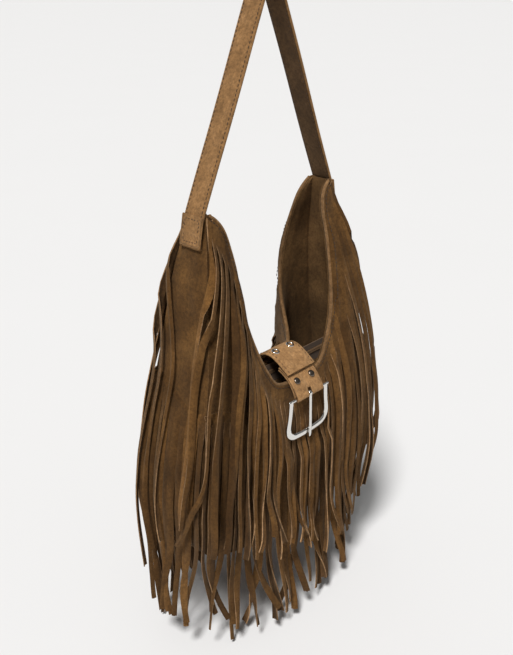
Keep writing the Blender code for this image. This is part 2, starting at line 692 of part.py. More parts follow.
# slider: front and back wings joined by a wedge at its leading end, with a lug for the pull
SLIDER_Y = POCKET_Y - 0.5
slider_at = (SLIDER_X, SLIDER_Y, ZIP_Z)
box("zip_slider", SLIDER_X - 5.0, SLIDER_X + 5.0, POCKET_Y - 3.0, POCKET_Y - 1.55, ZIP_Z - 3.6, ZIP_Z + 3.6, NICKEL, slider_at)
slider = bpy.data.objects["zip_slider"]
lug = box("slider_lug_tool", SLIDER_X - 1.1, SLIDER_X + 1.1, POCKET_Y - 6.2, POCKET_Y - 2.6, ZIP_Z - 1.4, ZIP_Z + 2.6, NICKEL)
lug.hide_render = True
lug.display_type = "WIRE"
slider_join = slider.modifiers.new("lug", "BOOLEAN")
slider_join.operation = "UNION"
slider_join.object = lug

# pull: a flat tab whose fork straddles the lug and turns on it
PULL_Z = ZIP_Z + 0.6
PULL_Y = POCKET_Y - 4.6
pull_outline = [(-3.2, 1.2), (-1.5, 1.2), (-1.5, -2.6), (1.5, -2.6), (1.5, 1.2), (3.2, 1.2), (3.2, -8.0), (2.6, -25.0), (1.4, -26.5), (-1.4, -26.5), (-2.6, -25.0), (-3.2, -8.0)]
px = [(SLIDER_X + x, PULL_Z + z) for x, z in pull_outline]
front = [(x, PULL_Y - 0.6, z) for x, z in px]
back = [(x, PULL_Y + 0.6, z) for x, z in px]
m = len(px)
pull_faces = [tuple(range(m)), tuple(reversed(range(m, 2 * m)))]
for i in range(m):
    j = (i + 1) % m
    pull_faces.append((i, i + m, j + m, j))
mesh_object("zip_pull", front + back, pull_faces, NICKEL, origin=(SLIDER_X, PULL_Y, PULL_Z))
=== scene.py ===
import math
import random

import bmesh
import bpy
import numpy as np
from mathutils import Matrix, Vector

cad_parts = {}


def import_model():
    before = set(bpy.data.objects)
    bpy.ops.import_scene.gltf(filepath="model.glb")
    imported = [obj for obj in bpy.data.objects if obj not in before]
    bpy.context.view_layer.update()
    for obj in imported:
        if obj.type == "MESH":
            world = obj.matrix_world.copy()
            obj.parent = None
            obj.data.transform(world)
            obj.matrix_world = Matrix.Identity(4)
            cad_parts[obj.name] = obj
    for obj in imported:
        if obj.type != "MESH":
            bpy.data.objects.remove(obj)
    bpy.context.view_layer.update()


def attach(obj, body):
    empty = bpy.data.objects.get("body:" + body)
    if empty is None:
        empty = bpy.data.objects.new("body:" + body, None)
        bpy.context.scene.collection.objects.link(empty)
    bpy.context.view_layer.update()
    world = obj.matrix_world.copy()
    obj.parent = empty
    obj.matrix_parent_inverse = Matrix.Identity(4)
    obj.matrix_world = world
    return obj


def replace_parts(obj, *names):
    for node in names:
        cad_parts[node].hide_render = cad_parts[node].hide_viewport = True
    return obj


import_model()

# ------------------------------------------------------------ the part's sizes, in mm
HORN_Z, STRAP_W, STRAP_T, STRAP_HORN_X, STRAP_LEAN, STRAP_R = 476.0, 25.0, 3.0, 92.0, 0.4395, 13.5
CROWN_STEPS = 9
_half = math.atan(STRAP_LEAN)
_facet = (math.pi - 2 * _half) / CROWN_STEPS / 2
CROWN = HORN_Z + STRAP_HORN_X / STRAP_LEAN - STRAP_R / math.sin(_half) + STRAP_R * math.cos(_facet) - STRAP_T / 2
SUEDE, LINING, FRINGE, GAP = 1.6, 0.8, 1.2, 0.35
UPPER_STRIPS, LOWER_FRONT, LOWER_SIDE, SLIT = 40, 34, 11, 0.7
HANG_Z, LOWER_OFF = 138.0, 1.7
BAR_Y, BAR_Z, BAR_D, FRAME_W, FRAME_H, FRAME_T, FRAME_B = -65.6, 277.0, 3.4, 62.0, 47.0, 3.2, 5.6
TAB_W, TAB_T, LOOP_T = 43.0, 2.4, 1.3
HALF_WIDTH = [(180, 148), (220, 144), (260, 137), (300, 128), (340, 118), (380, 109), (420, 101), (450, 95), (476, 90.2)]
SIDE_DEPTH = [(91, 88), (122, 90), (180, 94), (220, 94), (260, 90), (300, 84), (340, 74), (380, 61), (420, 46), (450, 33), (476, 25)]
BULGE = [(91, 0), (110, 4), (130, 8), (160, 11), (220, 10), (260, 9), (300, 9), (340, 10), (380, 9), (420, 9), (450, 5), (476, 0)]
NECK = [(0, 290), (22, 292), (32, 295), (38.6, 301), (44, 310), (49.4, 320), (57.7, 340), (63.3, 360), (66.4, 380), (67.6, 400), (68.3, 420), (69.2, 440), (70.6, 452), (73.4, 461), (78.8, 469), (84.5, 474), (87.2, 475.6)]
BASE_CURVE = [(148, 180), (147, 158), (141, 139), (129, 125), (110, 116), (80, 111), (40, 109.3), (0, 109)]
SLIT_TOP = [(0, 262), (0.2, 274), (0.4, 299), (0.54, 322), (0.64, 368), (0.71, 400), (0.78, 426), (0.9, 449), (1.0, 461)]
SLIT_BACK = [(0, 258), (0.2, 270), (0.4, 288), (0.6, 302), (0.7, 345), (0.8, 410), (0.9, 445), (1.0, 461)]
UPPER_TIP = [(-1.0, 190), (-0.9, 150), (-0.6, 128), (-0.3, 108), (0.0, 84), (0.3, 68), (0.6, 68), (0.85, 96), (1.0, 132)]


def smooth(t):
    t = min(1.0, max(0.0, t))
    return t * t * (3 - 2 * t)


class Curve:
    """Monotone cubic through (t, value) knots."""

    def __init__(self, knots):
        self.t = [k[0] for k in knots]
        self.v = [k[1] for k in knots]
        n = len(knots)
        s = [(self.v[i + 1] - self.v[i]) / (self.t[i + 1] - self.t[i]) for i in range(n - 1)]
        self.m = [s[0]] + [0.0 if s[i - 1] * s[i] <= 0 else 2 * s[i - 1] * s[i] / (s[i - 1] + s[i]) for i in range(1, n - 1)] + [s[-1]]

    def __call__(self, x):
        if x <= self.t[0]:
            return self.v[0]
        if x >= self.t[-1]:
            return self.v[-1]
        lo, hi = 0, len(self.t) - 1
        while hi - lo > 1:
            mid = (lo + hi) // 2
            if self.t[mid] <= x:
                lo = mid
            else:
                hi = mid
        h = self.t[hi] - self.t[lo]
        s = (x - self.t[lo]) / h
        return ((2 * s**3 - 3 * s**2 + 1) * self.v[lo] + (s**3 - 2 * s**2 + s) * h * self.m[lo]
                + (-2 * s**3 + 3 * s**2) * self.v[hi] + (s**3 - s**2) * h * self.m[hi])


half_width, side_depth, bulge, neck_curve = Curve(HALF_WIDTH), Curve(SIDE_DEPTH), Curve(BULGE), Curve(NECK)
slit_top, slit_back, upper_tip = Curve(SLIT_TOP), Curve(SLIT_BACK), Curve(UPPER_TIP)


def neck_at(x):
    return neck_curve(abs(x))


def lean(x, z):
    span = 100.0 if z > 300 else 190.0
    g = 0.0 if abs(z - 300) > span else 0.5 * (1 + math.cos(math.pi * (z - 300) / span))
    return 66.0 * g * math.exp(-(abs(x / 63.0) ** 3))


def front_depth(x, z):
    k = max(0.0, 1 - (x / half_width(max(z, 180))) ** 2)
    return side_depth(z) / 2 + bulge(z) * k


def back_depth(x, z):
    return front_depth(x, z) - lean(x, z)


def drape(depth, x, z):
    top = min(neck_at(x) + 8, HORN_Z)
    q = max(z, 105.0)
    best = depth(x, q)
    while q < top:
        best = max(best, depth(x, q))
        q += 12.0
    return best


def sheet_offset(x, z):
    below = min(neck_at(x), HORN_Z) - z
    return 0.4 + 1.1 * smooth((below - 5) / 12) + (LOWER_OFF + FRINGE + 0.7) * smooth((below - 20) / 26)


def lower_head(x, y=0.0):
    """The seam of the lower fringe drops from the back of each side to the front, and to the middle of each face."""
    edge = 306 + 12 * max(-1.0, min(1.0, y / 30))
    return 238 + (edge - 238) * smooth(abs(x) / 132)


def settle(x, y, z):
    """The ends of the loaded bag draw in toward the bottom, so its plan is a lens rather than a box."""
    end = smooth((abs(x) - 50) / 95)
    if end <= 0:
        return x, y, z
    low = smooth((175 - z) / 115)
    if y > 0:
        y = y * (1 - end * (0.21 * smooth((455 - z) / 110) + 0.16 * low))
    else:
        y = y * (1 - 0.34 * end * low)
    return x * (1 - end * (0.035 * smooth((430 - z) / 120) + 0.05 * low * min(1.0, abs(y) / 40))), y, z


def world(p):
    x, y, z = settle(*p)
    return (x / 1000, y / 1000, (z - CROWN) / 1000)


def noise(x, y, seed=0.0):
    """Smooth repeatable waviness, about -1 to 1."""
    return (math.sin(1.7 * x + 2.3 * y + 1.3 * seed) + math.sin(2.9 * x - 1.9 * y + 2.1 * seed + 1.0)
            + 0.7 * math.sin(4.7 * x + 3.7 * y + 0.7 * seed + 2.0) + 0.5 * math.sin(7.9 * x - 5.3 * y + 3.3 * seed)) / 2.6


# ------------------------------------------------------------------- materials
def nodes_for(name):
    m = bpy.data.materials.new(name)
    m.use_nodes = True
    t = m.node_tree
    return m, t, t.nodes["Principled BSDF"]


def link(t, a, b):
    t.links.new(a, b)


def add_noise(t, coords, scale, detail=3.0, rough=0.6, stretch=None):
    n = t.nodes.new("ShaderNodeTexNoise")
    n.inputs["Scale"].default_value = scale
    n.inputs["Detail"].default_value = detail
    n.inputs["Roughness"].default_value = rough
    if stretch:
        mp = t.nodes.new("ShaderNodeMapping")
        mp.inputs["Scale"].default_value = stretch
        link(t, coords, mp.inputs["Vector"])
        link(t, mp.outputs["Vector"], n.inputs["Vector"])
    else:
        link(t, coords, n.inputs["Vector"])
    return n.outputs["Fac"]


def ramp(t, fac, stops):
    r = t.nodes.new("ShaderNodeValToRGB")
    r.color_ramp.elements[0].position, r.color_ramp.elements[0].color = stops[0][0], (*stops[0][1], 1)
    r.color_ramp.elements[1].position, r.color_ramp.elements[1].color = stops[-1][0], (*stops[-1][1], 1)
    for pos, col in stops[1:-1]:
        e = r.color_ramp.elements.new(pos)
        e.color = (*col, 1)
    link(t, fac, r.inputs["Fac"])
    return r.outputs["Color"]


def mix(t, kind, fac, a, b):
    n = t.nodes.new("ShaderNodeMix")
    n.data_type = "RGBA"
    n.blend_type = kind
    if isinstance(fac, float):
        n.inputs["Factor"].default_value = fac
    else:
        link(t, fac, n.inputs["Factor"])
    for value, slot in ((a, 6), (b, 7)):
        if isinstance(value, tuple):
            n.inputs[slot].default_value = (*value, 1)
        else:
            link(t, value, n.inputs[slot])
    return n.outputs[2]


def math_node(t, op, a, b=0.0):
    n = t.nodes.new("ShaderNodeMath")
    n.operation = op
    for value, i in ((a, 0), (b, 1)):
        if isinstance(value, float):
            n.inputs[i].default_value = value
        else:
            link(t, value, n.inputs[i])
    return n.outputs[0]


def bumps(t, shader, layers):
    """Chain of bump nodes: (height, strength, distance in m)."""
    last = None
    for height, strength, distance in layers:
        b = t.nodes.new("ShaderNodeBump")
        b.inputs["Strength"].default_value = strength
        b.inputs["Distance"].default_value = distance
        link(t, height, b.inputs["Height"])
        if last is not None:
            link(t, last, b.inputs["Normal"])
        last = b.outputs["Normal"]
    link(t, last, shader.inputs["Normal"])


def suede(name, dark, mid, light, sheen=0.25, tone=True, patch=26.0):
    """Napped suede: brushed patches, fine flecks, soft fibre bump; strips differ a little in tone."""
    m, t, s = nodes_for(name)
    co = t.nodes.new("ShaderNodeTexCoord").outputs["Object"]
    broad = add_noise(t, co, patch, 4.0, 0.65)
    brushed = add_noise(t, co, 90.0, 5.0, 0.7, stretch=(1.0, 1.0, 0.35))
    fleck = add_noise(t, co, 330.0, 4.0, 0.8)
    colour = ramp(t, broad, [(0.3, dark), (0.5, mid), (0.72, light)])
    colour = mix(t, "OVERLAY", 0.38, colour, ramp(t, brushed, [(0.3, (0.30, 0.30, 0.30)), (0.7, (0.70, 0.70, 0.70))]))
    colour = mix(t, "OVERLAY", 0.62, colour, ramp(t, fleck, [(0.30, (0.16, 0.16, 0.16)), (0.70, (0.84, 0.84, 0.84))]))
    if tone:
        a = t.nodes.new("ShaderNodeAttribute")
        a.attribute_name = "tone"
        colour = mix(t, "MULTIPLY", 1.0, colour, ramp(t, a.outputs["Fac"], [(0.0, (0.45, 0.42, 0.40)), (0.5, (0.92, 0.91, 0.90)), (1.0, (1.65, 1.62, 1.58))]))
    link(t, colour, s.inputs["Base Color"])
    s.inputs["Roughness"].default_value = 0.92
    s.inputs["Specular IOR Level"].default_value = 0.18
    s.inputs["Sheen Weight"].default_value = sheen
    s.inputs["Sheen Roughness"].default_value = 0.5
    s.inputs["Sheen Tint"].default_value = (0.9, 0.68, 0.45, 1)
    bumps(t, s, [(brushed, 0.35, 0.0008), (fleck, 0.5, 0.0005), (add_noise(t, co, 1600.0, 3.0, 0.8), 0.45, 0.0003)])
    return m


def metal(name, colour, rough, streak=0.05):
    m, t, s = nodes_for(name)
    co = t.nodes.new("ShaderNodeTexCoord").outputs["Object"]
    s.inputs["Metallic"].default_value = 1.0
    fine = add_noise(t, co, 220.0, 4.0, 0.6)
    link(t, mix(t, "MIX", fine, tuple(c * 0.93 for c in colour), colour), s.inputs["Base Color"])
    r = t.nodes.new("ShaderNodeMapRange")
    r.inputs["To Min"].default_value = max(0.03, rough - streak)
    r.inputs["To Max"].default_value = rough + streak
    link(t, add_noise(t, co, 60.0, 4.0, 0.6), r.inputs["Value"])
    link(t, r.outputs["Result"], s.inputs["Roughness"])
    bumps(t, s, [(fine, 0.03, 0.0002)])
    return m


def tape_material(name, a, b):
    m, t, s = nodes_for(name)
    co = t.nodes.new("ShaderNodeTexCoord").outputs["Object"]
    w = t.nodes.new("ShaderNodeTexWave")
    w.wave_type, w.bands_direction = "BANDS", "Z"
    w.inputs["Scale"].default_value = 260.0
    link(t, co, w.inputs["Vector"])
    w2 = t.nodes.new("ShaderNodeTexWave")
    w2.wave_type, w2.bands_direction = "BANDS", "X"
    w2.inputs["Scale"].default_value = 340.0
    link(t, co, w2.inputs["Vector"])
    weave = math_node(t, "MULTIPLY", w.outputs["Fac"], w2.outputs["Fac"])
    link(t, ramp(t, weave, [(0.1, a), (0.8, b)]), s.inputs["Base Color"])
    s.inputs["Roughness"].default_value = 0.8
    s.inputs["Sheen Weight"].default_value = 0.2
    bumps(t, s, [(weave, 0.5, 0.0003)])
    return m


def thread_material(name, colour):
    m, t, s = nodes_for(name)
    co = t.nodes.new("ShaderNodeTexCoord").outputs["Object"]
    w = t.nodes.new("ShaderNodeTexWave")
    w.bands_direction = "DIAGONAL"
    w.inputs["Scale"].default_value = 900.0
    link(t, co, w.inputs["Vector"])
    link(t, ramp(t, w.outputs["Fac"], [(0.0, tuple(c * 0.6 for c in colour)), (1.0, colour)]), s.inputs["Base Color"])
    s.inputs["Roughness"].default_value = 0.6
    bumps(t, s, [(w.outputs["Fac"], 0.3, 0.0001)])
    return m


SUEDE_MAT = suede("suede_nap", (0.070, 0.0325, 0.0085), (0.103, 0.049, 0.0135), (0.150, 0.075, 0.0225), sheen=0.10)
EDGE_MAT = suede("suede_cut_edge", (0.20, 0.115, 0.055), (0.28, 0.165, 0.08), (0.36, 0.22, 0.12), sheen=0.1, patch=120.0)
FLESH_MAT = suede("suede_flesh_side", (0.060, 0.029, 0.010), (0.082, 0.041, 0.0145), (0.115, 0.06, 0.023), sheen=0.12, patch=60.0)
STRAP_MAT = suede("suede_strap", (0.195, 0.100, 0.037), (0.24, 0.126, 0.048), (0.30, 0.162, 0.067), tone=False, patch=70.0)
LINING_MAT = suede("lining_cloth", (0.075, 0.038, 0.013), (0.115, 0.06, 0.021), (0.20, 0.108, 0.04), sheen=0.10, tone=False, patch=22.0)
NICKEL = metal("nickel_polished_look", (0.78, 0.76, 0.72), 0.16)
DARK_NICKEL = metal("nickel_dark_look", (0.17, 0.14, 0.115), 0.32, 0.08)
TAPE = tape_material("zip_tape_look", (0.10, 0.055, 0.026), (0.24, 0.14, 0.07))
TEETH = thread_material("zip_teeth_brown", (0.26, 0.155, 0.08))
THREAD = thread_material("thread_dark_brown", (0.055, 0.028, 0.012))
THREAD_TAN = thread_material("thread_tan", (0.30, 0.175, 0.085))
# painted shadow: a near-black material for the discs that stand in for the shade inside each eyelet's hole
PAINTED_HOLE_SHADOW = tape_material("eyelet_shadow", (0.012, 0.007, 0.004), (0.03, 0.017, 0.01))

SLOT_SUEDE, SLOT_LINING, SLOT_TAPE, SLOT_NICKEL, SLOT_DARK = "suede_brown", "lining_dark_brown", "zip_tape_brown", "nickel_polished", "nickel_dark"


# ------------------------------------------------------------------ mesh making
def make(name, points, faces, mats, slot, face_mats=None, tones=None, angle=38.0, body="bag", smooth_all=True):
    mesh = bpy.data.meshes.new(name)
    mesh.from_pydata([world(p) for p in points], [], faces)
    for m in mats:
        mesh.materials.append(m)
    if face_mats is not None:
        mesh.polygons.foreach_set("material_index", face_mats)
    if tones is not None:
        a = mesh.attributes.new("tone", "FLOAT", "POINT")
        a.data.foreach_set("value", tones)
    mesh.update()
    o = bpy.data.objects.new(name, mesh)
    bpy.context.scene.collection.objects.link(o)
    if smooth_all:
        mesh.shade_smooth()
        mesh.set_sharp_from_angle(angle=math.radians(angle))
    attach(o, body)
    return o


def grid_faces(rows, cols):
    return [(r * cols + c, r * cols + c + 1, (r + 1) * cols + c + 1, (r + 1) * cols + c) for r in range(rows - 1) for c in range(cols - 1)]


def fix_normals(o):
    bm = bmesh.new()
    bm.from_mesh(o.data)
    bmesh.ops.recalc_face_normals(bm, faces=bm.faces[:])
    bm.to_mesh(o.data)
    bm.free()


def slab(name, outer, inner, faces, mats, slot, wall_mat=0, inner_mat=0, tones=None, bevel=0.0, **kw):
    n = len(outer)
    edges = {}
    for f in faces:
        for a, b in zip(f, f[1:] + f[:1]):
            edges[(a, b)] = 1
    walls = [tuple(reversed((a, b, b + n, a + n))) for a, b in edges if (b, a) not in edges]
    flipped = [tuple(i + n for i in reversed(f)) for f in faces]
    used = sorted({i for f in faces for i in f})
    used = used + [i + n for i in used]
    index = {old: new for new, old in enumerate(used)}
    points = list(outer) + list(inner)
    all_faces = [tuple(index[i] for i in f) for f in list(faces) + flipped + walls]
    fm = [0] * len(faces) + [inner_mat] * len(flipped) + [wall_mat] * len(walls)
    tn = None
    if tones is not None:
        both = list(tones) + list(tones)
        tn = [both[i] for i in used]
    o = make(name, [points[i] for i in used], all_faces, mats, slot, fm, tn, **kw)
    fix_normals(o)
    if bevel:
        b = o.modifiers.new("soft edge", "BEVEL")
        b.width, b.segments, b.limit_method, b.angle_limit = bevel / 1000, 2, "ANGLE", math.radians(50)
    return o


def sweep(name, path, us, vs, section, mats, slot, closed=False, body="bag", angle=50.0):
    """Section points (u, v) carried along path; us and vs are the section's axes at each point."""
    points, faces = [], []
    m = len(section)
    for p, u, v in zip(path, us, vs):
        for a, b in section:
            points.append(tuple(np.array(p) + np.array(u) * a + np.array(v) * b))
    n = len(path)
    for i in range(n if closed else n - 1):
        j = (i + 1) % n
        for k in range(m):
            l = (k + 1) % m
            faces.append((i * m + k, i * m + l, j * m + l, j * m + k))
    if not closed:
        faces.append(tuple(range(m)))
        faces.append(tuple((n - 1) * m + k for k in reversed(range(m))))
    o = make(name, points, faces, mats, slot, angle=angle, body=body)
    fix_normals(o)
    return o


def spline(points, per=6):
    """Catmull-Rom through the points."""
    p = [np.array(q, float) for q in points]
    out = []
    for i in range(len(p) - 1):
        a, b, c, d = p[max(0, i - 1)], p[i], p[i + 1], p[min(len(p) - 1, i + 2)]
        for k in range(per):
            t = k / per
            out.append(0.5 * (2 * b + (c - a) * t + (2 * a - 5 * b + 4 * c - d) * t * t + (3 * b - a - 3 * c + d) * t**3))
    out.append(p[-1])
    return out


def resample(path, step):
    p = [np.array(q, float) for q in path]
    d = [0.0]
    for a, b in zip(p, p[1:]):
        d.append(d[-1] + float(np.linalg.norm(b - a)))
    n = max(1, int(round(d[-1] / step)))
    out, j = [], 0
    for i in range(n + 1):
        s = d[-1] * i / n
        while j < len(d) - 2 and d[j + 1] < s:
            j += 1
        k = (s - d[j]) / max(1e-9, d[j + 1] - d[j])
        out.append(p[j] + (p[j + 1] - p[j]) * min(1.0, k))
    return out


def stitches(name, runs, pitch=4.2, length=3.1, radius=0.5, mat=None, slot=SLOT_SUEDE, body="bag", seed=1):
    """Thread stitches along runs of (path, outward normals)."""
    rng = random.Random(seed)
    points, faces = [], []
    rings = [(-0.5, 0.25), (-0.34, 0.85), (0.0, 1.0), (0.34, 0.85), (0.5, 0.25)]
    sides = 6
    for path, normal in runs:
        path = [np.array(q, float) for q in path]
        d = [0.0]
        for a, b in zip(path, path[1:]):
            d.append(d[-1] + float(np.linalg.norm(b - a)))
        count = int(d[-1] / pitch)
        for i in range(count):
            s = (i + 0.5) * d[-1] / count
            j = next(k for k in range(len(d) - 1) if d[k + 1] >= s)
            k = (s - d[j]) / (d[j + 1] - d[j])
            c = path[j] + (path[j + 1] - path[j]) * k
            t = (path[j + 1] - path[j]) / (d[j + 1] - d[j])
            nn = normal(c) if callable(normal) else np.array(normal, float)
            nn = nn - t * float(nn @ t)
            nn /= np.linalg.norm(nn)
            b = np.cross(t, nn)
            t = t + b * rng.uniform(-0.07, 0.07)
            base = len(points)
            for along, r in rings:
                sag = 0.16 * (1 - (2 * along) ** 2)
                for q in range(sides):
                    a = 2 * math.pi * q / sides
                    points.append(tuple(c + t * along * length + nn * (sag + radius * 0.8 * r * math.sin(a)) + b * radius * r * math.cos(a)))
            for r in range(len(rings) - 1):
                for q in range(sides):
                    q2 = (q + 1) % sides
                    faces.append((base + r * sides + q, base + r * sides + q2, base + (r + 1) * sides + q2, base + (r + 1) * sides + q))
            faces.append(tuple(base + q for q in range(sides)))
            faces.append(tuple(base + (len(rings) - 1) * sides + q for q in reversed(range(sides))))
    o = make(name, points, faces, [mat or THREAD], slot, angle=80.0, body=body)
    fix_normals(o)
    return o


# -------------------------------------------------------------------- the body
def outline(count_side, count_base):
    half = [(half_width(HORN_Z - (HORN_Z - 180) * i / count_side), HORN_Z - (HORN_Z - 180) * i / count_side) for i in range(count_side)]
    lengths = [0.0]
    for a, b in zip(BASE_CURVE, BASE_CURVE[1:]):
        lengths.append(lengths[-1] + math.dist(a, b))
    xs, zs = Curve(list(zip(lengths, [p[0] for p in BASE_CURVE]))), Curve(list(zip(lengths, [p[1] for p in BASE_CURVE])))
    for i in range(count_base + 1):
        s = lengths[-1] * i / count_base
        half.append((xs(s), zs(s)))
    return [(-x, z) for x, z in half] + [(x, z) for x, z in reversed(half[:-1])]


def neck_line(count, drop=0.0, lift=0.0):
    dense = [(x * 0.1, neck_curve(x * 0.1)) for x in range(873)]
    pts = resample([(x, z) for x, z in dense], 1e9 if count < 1 else sum(math.dist(a, b) for a, b in zip(dense, dense[1:])) / count)
    half = [(float(p[0]), float(p[1]) + lift * math.exp(-((p[0] / 40) ** 2)) - drop) for p in pts]
    return [(-x, z) for x, z in reversed(half)] + half[1:]


SIDE_STEPS, BASE_STEPS, ROWS = 40, 30, 22
edge_line = outline(SIDE_STEPS, BASE_STEPS)
STEPS = len(edge_line)


def inset_outline(d):
    moved = []
    n = len(edge_line)
    for i, p in enumerate(edge_line):
        a, b = edge_line[max(0, i - 1)], edge_line[min(n - 1, i + 1)]
        t = Vector((b[0] - a[0], b[1] - a[1])).normalized()
        moved.append((p[0] - t.y * d, p[1] + t.x * d))
    moved[0], moved[-1] = (moved[0][0], HORN_Z), (moved[-1][0], HORN_Z)
    return moved


def panel(name, depth, sign, lift):
    line = neck_line((STEPS - 1) // 2, lift=lift)
    outer, inner = [], []
    for j in range(ROWS + 1):
        v = j / ROWS
        for (nx, nz), (ox, oz) in zip(line, edge_line):
            x, z = nx + (ox - nx) * v, nz + (oz - nz) * v
            ripple = 0.5 * noise(x / 40, z / 40, 3) * smooth(v * 4) * smooth((1 - v) * 4)
            outer.append((x, sign * (depth(x, z) + ripple - 0.1), z))
            inner.append((x, sign * (depth(x, z) + ripple - SUEDE), z))
    tones = [0.42 + 0.12 * noise(p[0] / 30, p[2] / 30, 5) for p in outer]
    o = slab(name, outer, inner, grid_faces(ROWS + 1, STEPS), [SUEDE_MAT, EDGE_MAT], SLOT_SUEDE, wall_mat=1, tones=tones)
    return o


front_shell = panel("front_panel_suede", front_depth, -1, 0.0)
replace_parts(front_shell, "front_panel")
back_shell = panel("back_panel_suede", back_depth, 1, 10.0)
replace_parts(back_shell, "back_panel")

def side_shift(rz, y, v):
    """Shallow fold below the strap and slack lower down, outward only, so the lining behind stays clear."""
    w = smooth(v * 3) * smooth((1 - v) * 3) * smooth((rz - 185) / 30)
    return w * (1.6 + 1.3 * noise(y / 20, rz / 30, 8) + 1.9 * math.exp(-(((rz - 350 + y * 0.6) / 8) ** 2)) + 1.4 * math.exp(-(((rz - 405 - y * 0.5) / 9) ** 2)))


outer, inner = [], []
ACROSS_G = 18
for d, skin in ((0.0, outer), (SUEDE, inner)):
    for (x, z), (rx, rz) in zip(inset_outline(d), edge_line):
        y0 = -(front_depth(rx, rz) - 0.2)
        y1 = back_depth(rx, rz) - 0.2
        side = 1 if rx > 0 else -1
        for k in range(ACROSS_G):
            v = k / (ACROSS_G - 1)
            y = y0 + (y1 - y0) * v
            shift = side_shift(rz, y, v)
            skin.append((x + side * shift if abs(rx) > 60 else x, y, z))
tones = [0.46 + 0.16 * noise(p[1] / 18, p[2] / 26, 2) for p in outer]
gusset = slab("gusset_suede", outer, inner, grid_faces(STEPS, ACROSS_G), [SUEDE_MAT, EDGE_MAT], SLOT_SUEDE, wall_mat=1, tones=tones)
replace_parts(gusset, "side_and_base_gusset")

# lining: one sack, its sides slack in soft upright folds
INSET = SUEDE + GAP + 0.75


def lining_skin(d):
    line = inset_outline(d)
    nf, nb = neck_line((STEPS - 1) // 2, drop=0.6), neck_line((STEPS - 1) // 2, drop=0.6, lift=10.0)
    rows = []

    def fold(x, z, v, seed):
        return 1.0 * (0.5 + 0.5 * noise(x / 16, z / 90, seed)) * smooth(v * 5) * smooth((1 - v) * 5)

    for j in range(ROWS + 1):
        v = j / ROWS
        for (nx, nz), (ox, oz) in zip(nf, line):
            nx = max(-86.5, min(86.5, nx))
            x, z = nx + (ox - nx) * v, nz + (oz - nz) * v
            rows.append((x, -(front_depth(x, z) - d - fold(x, z, v, 1)), z))
    for j in range(1, 9):
        for i, (ox, oz) in enumerate(line):
            y0, y1 = -(front_depth(ox, oz) - d), back_depth(ox, oz) - d
            rows.append((ox, y0 + (y1 - y0) * j / 9, oz))
    for j in range(ROWS, -1, -1):
        v = j / ROWS
        for (nx, nz), (ox, oz) in zip(nb, line):
            nx = max(-86.5, min(86.5, nx))
            x, z = nx + (ox - nx) * v, nz + (oz - nz) * v
            rows.append((x, back_depth(x, z) - d - fold(x, z, v, 4), z))
    return rows


lining = slab("lining_cloth_sack", lining_skin(INSET), lining_skin(INSET + LINING), grid_faces(2 * ROWS + 10, STEPS), [LINING_MAT], SLOT_LINING, angle=60)
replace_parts(lining, "lining")


# -------------------------------------------------------------- fringe sheets
def rotate(v, axis, angle):
    axis = axis / np.linalg.norm(axis)
    return v * math.cos(angle) + np.cross(axis, v) * math.sin(angle) + axis * float(axis @ v) * (1 - math.cos(angle))


class Sheet:
    """A sheet with a whole yoke and a lower edge cut into cupped strips, each hung on its own."""

    def __init__(self):
        self.outer, self.inner, self.tones, self.columns = [], [], [], []

    def strip(self, yoke, rows, tone, slant=(0.0, 0.0)):
        """yoke: rows of (left, mid, right, normal); rows: (centre, across, normal, half width, cup, turn)."""
        cols = ([], [], [])
        prev = yoke[-1][1]
        for left, mid, right, nrm in yoke:
            for ids, p in zip(cols, (left, mid, right)):
                self.put(ids, p, nrm, tone)
        centres = [prev] + [r[0] for r in rows]
        for i, (c, across, nrm, half, cup, turn) in enumerate(rows):
            nxt = centres[min(len(centres) - 1, i + 2)]
            d = nxt - centres[i]
            d /= max(1e-9, np.linalg.norm(d))
            across = across - d * float(across @ d)
            across /= max(1e-9, np.linalg.norm(across))
            n_ = np.cross(across, d)
            if float(n_ @ nrm) < 0:
                n_ = -n_
            across, n_ = rotate(across, d, turn), rotate(n_, d, turn)
            lean_n = cup / max(0.5, half)
            fade = 1 - smooth(2.6 * (i + 1) / len(rows))
            dz = [np.array((0.0, 0.0, k * fade)) for k in slant]
            self.put(cols[0], c - across * half + dz[0], n_ - across * lean_n, tone)
            self.put(cols[1], c + n_ * cup, n_, tone)
            self.put(cols[2], c + across * half + dz[1], n_ + across * lean_n, tone)
        self.columns += list(cols)

    def put(self, ids, p, nrm, tone):
        nrm = nrm / np.linalg.norm(nrm)
        self.outer.append(tuple(p + nrm * FRINGE / 2))
        self.inner.append(tuple(p - nrm * FRINGE / 2))
        self.tones.append(tone)
        ids.append(len(self.outer) - 1)

    def area(self):
        total = 0.0
        for f in self.faces:
            q = [np.array(self.outer[i]) for i in f]
            total += 0.5 * float(np.linalg.norm(np.cross(q[2] - q[0], q[3] - q[1])))
        return total / 1e6

    def build(self, name, yoke_rows):
        faces = []
        for c in range(len(self.columns) - 1):
            a, b = self.columns[c], self.columns[c + 1]
            for r in range(len(a) - 1):
                if c % 3 != 2 or r < yoke_rows - 1:
                    faces.append((a[r], b[r], b[r + 1], a[r + 1]))
        self.faces = faces
        return slab(name, self.outer, self.inner, faces, [SUEDE_MAT, EDGE_MAT, FLESH_MAT], SLOT_SUEDE, wall_mat=1, inner_mat=2, tones=self.tones, angle=50)


def clip(p):
    x, y = p[0], p[1]
    if abs(x) > 152:
        x = math.copysign(152 + 11 * math.tanh((abs(x) - 152) / 11), x)
    if y < -70:
        y = -70 - 10 * math.tanh((-70 - y) / 10)
    return np.array((x, min(66.0, y), max(1.0, p[2])))


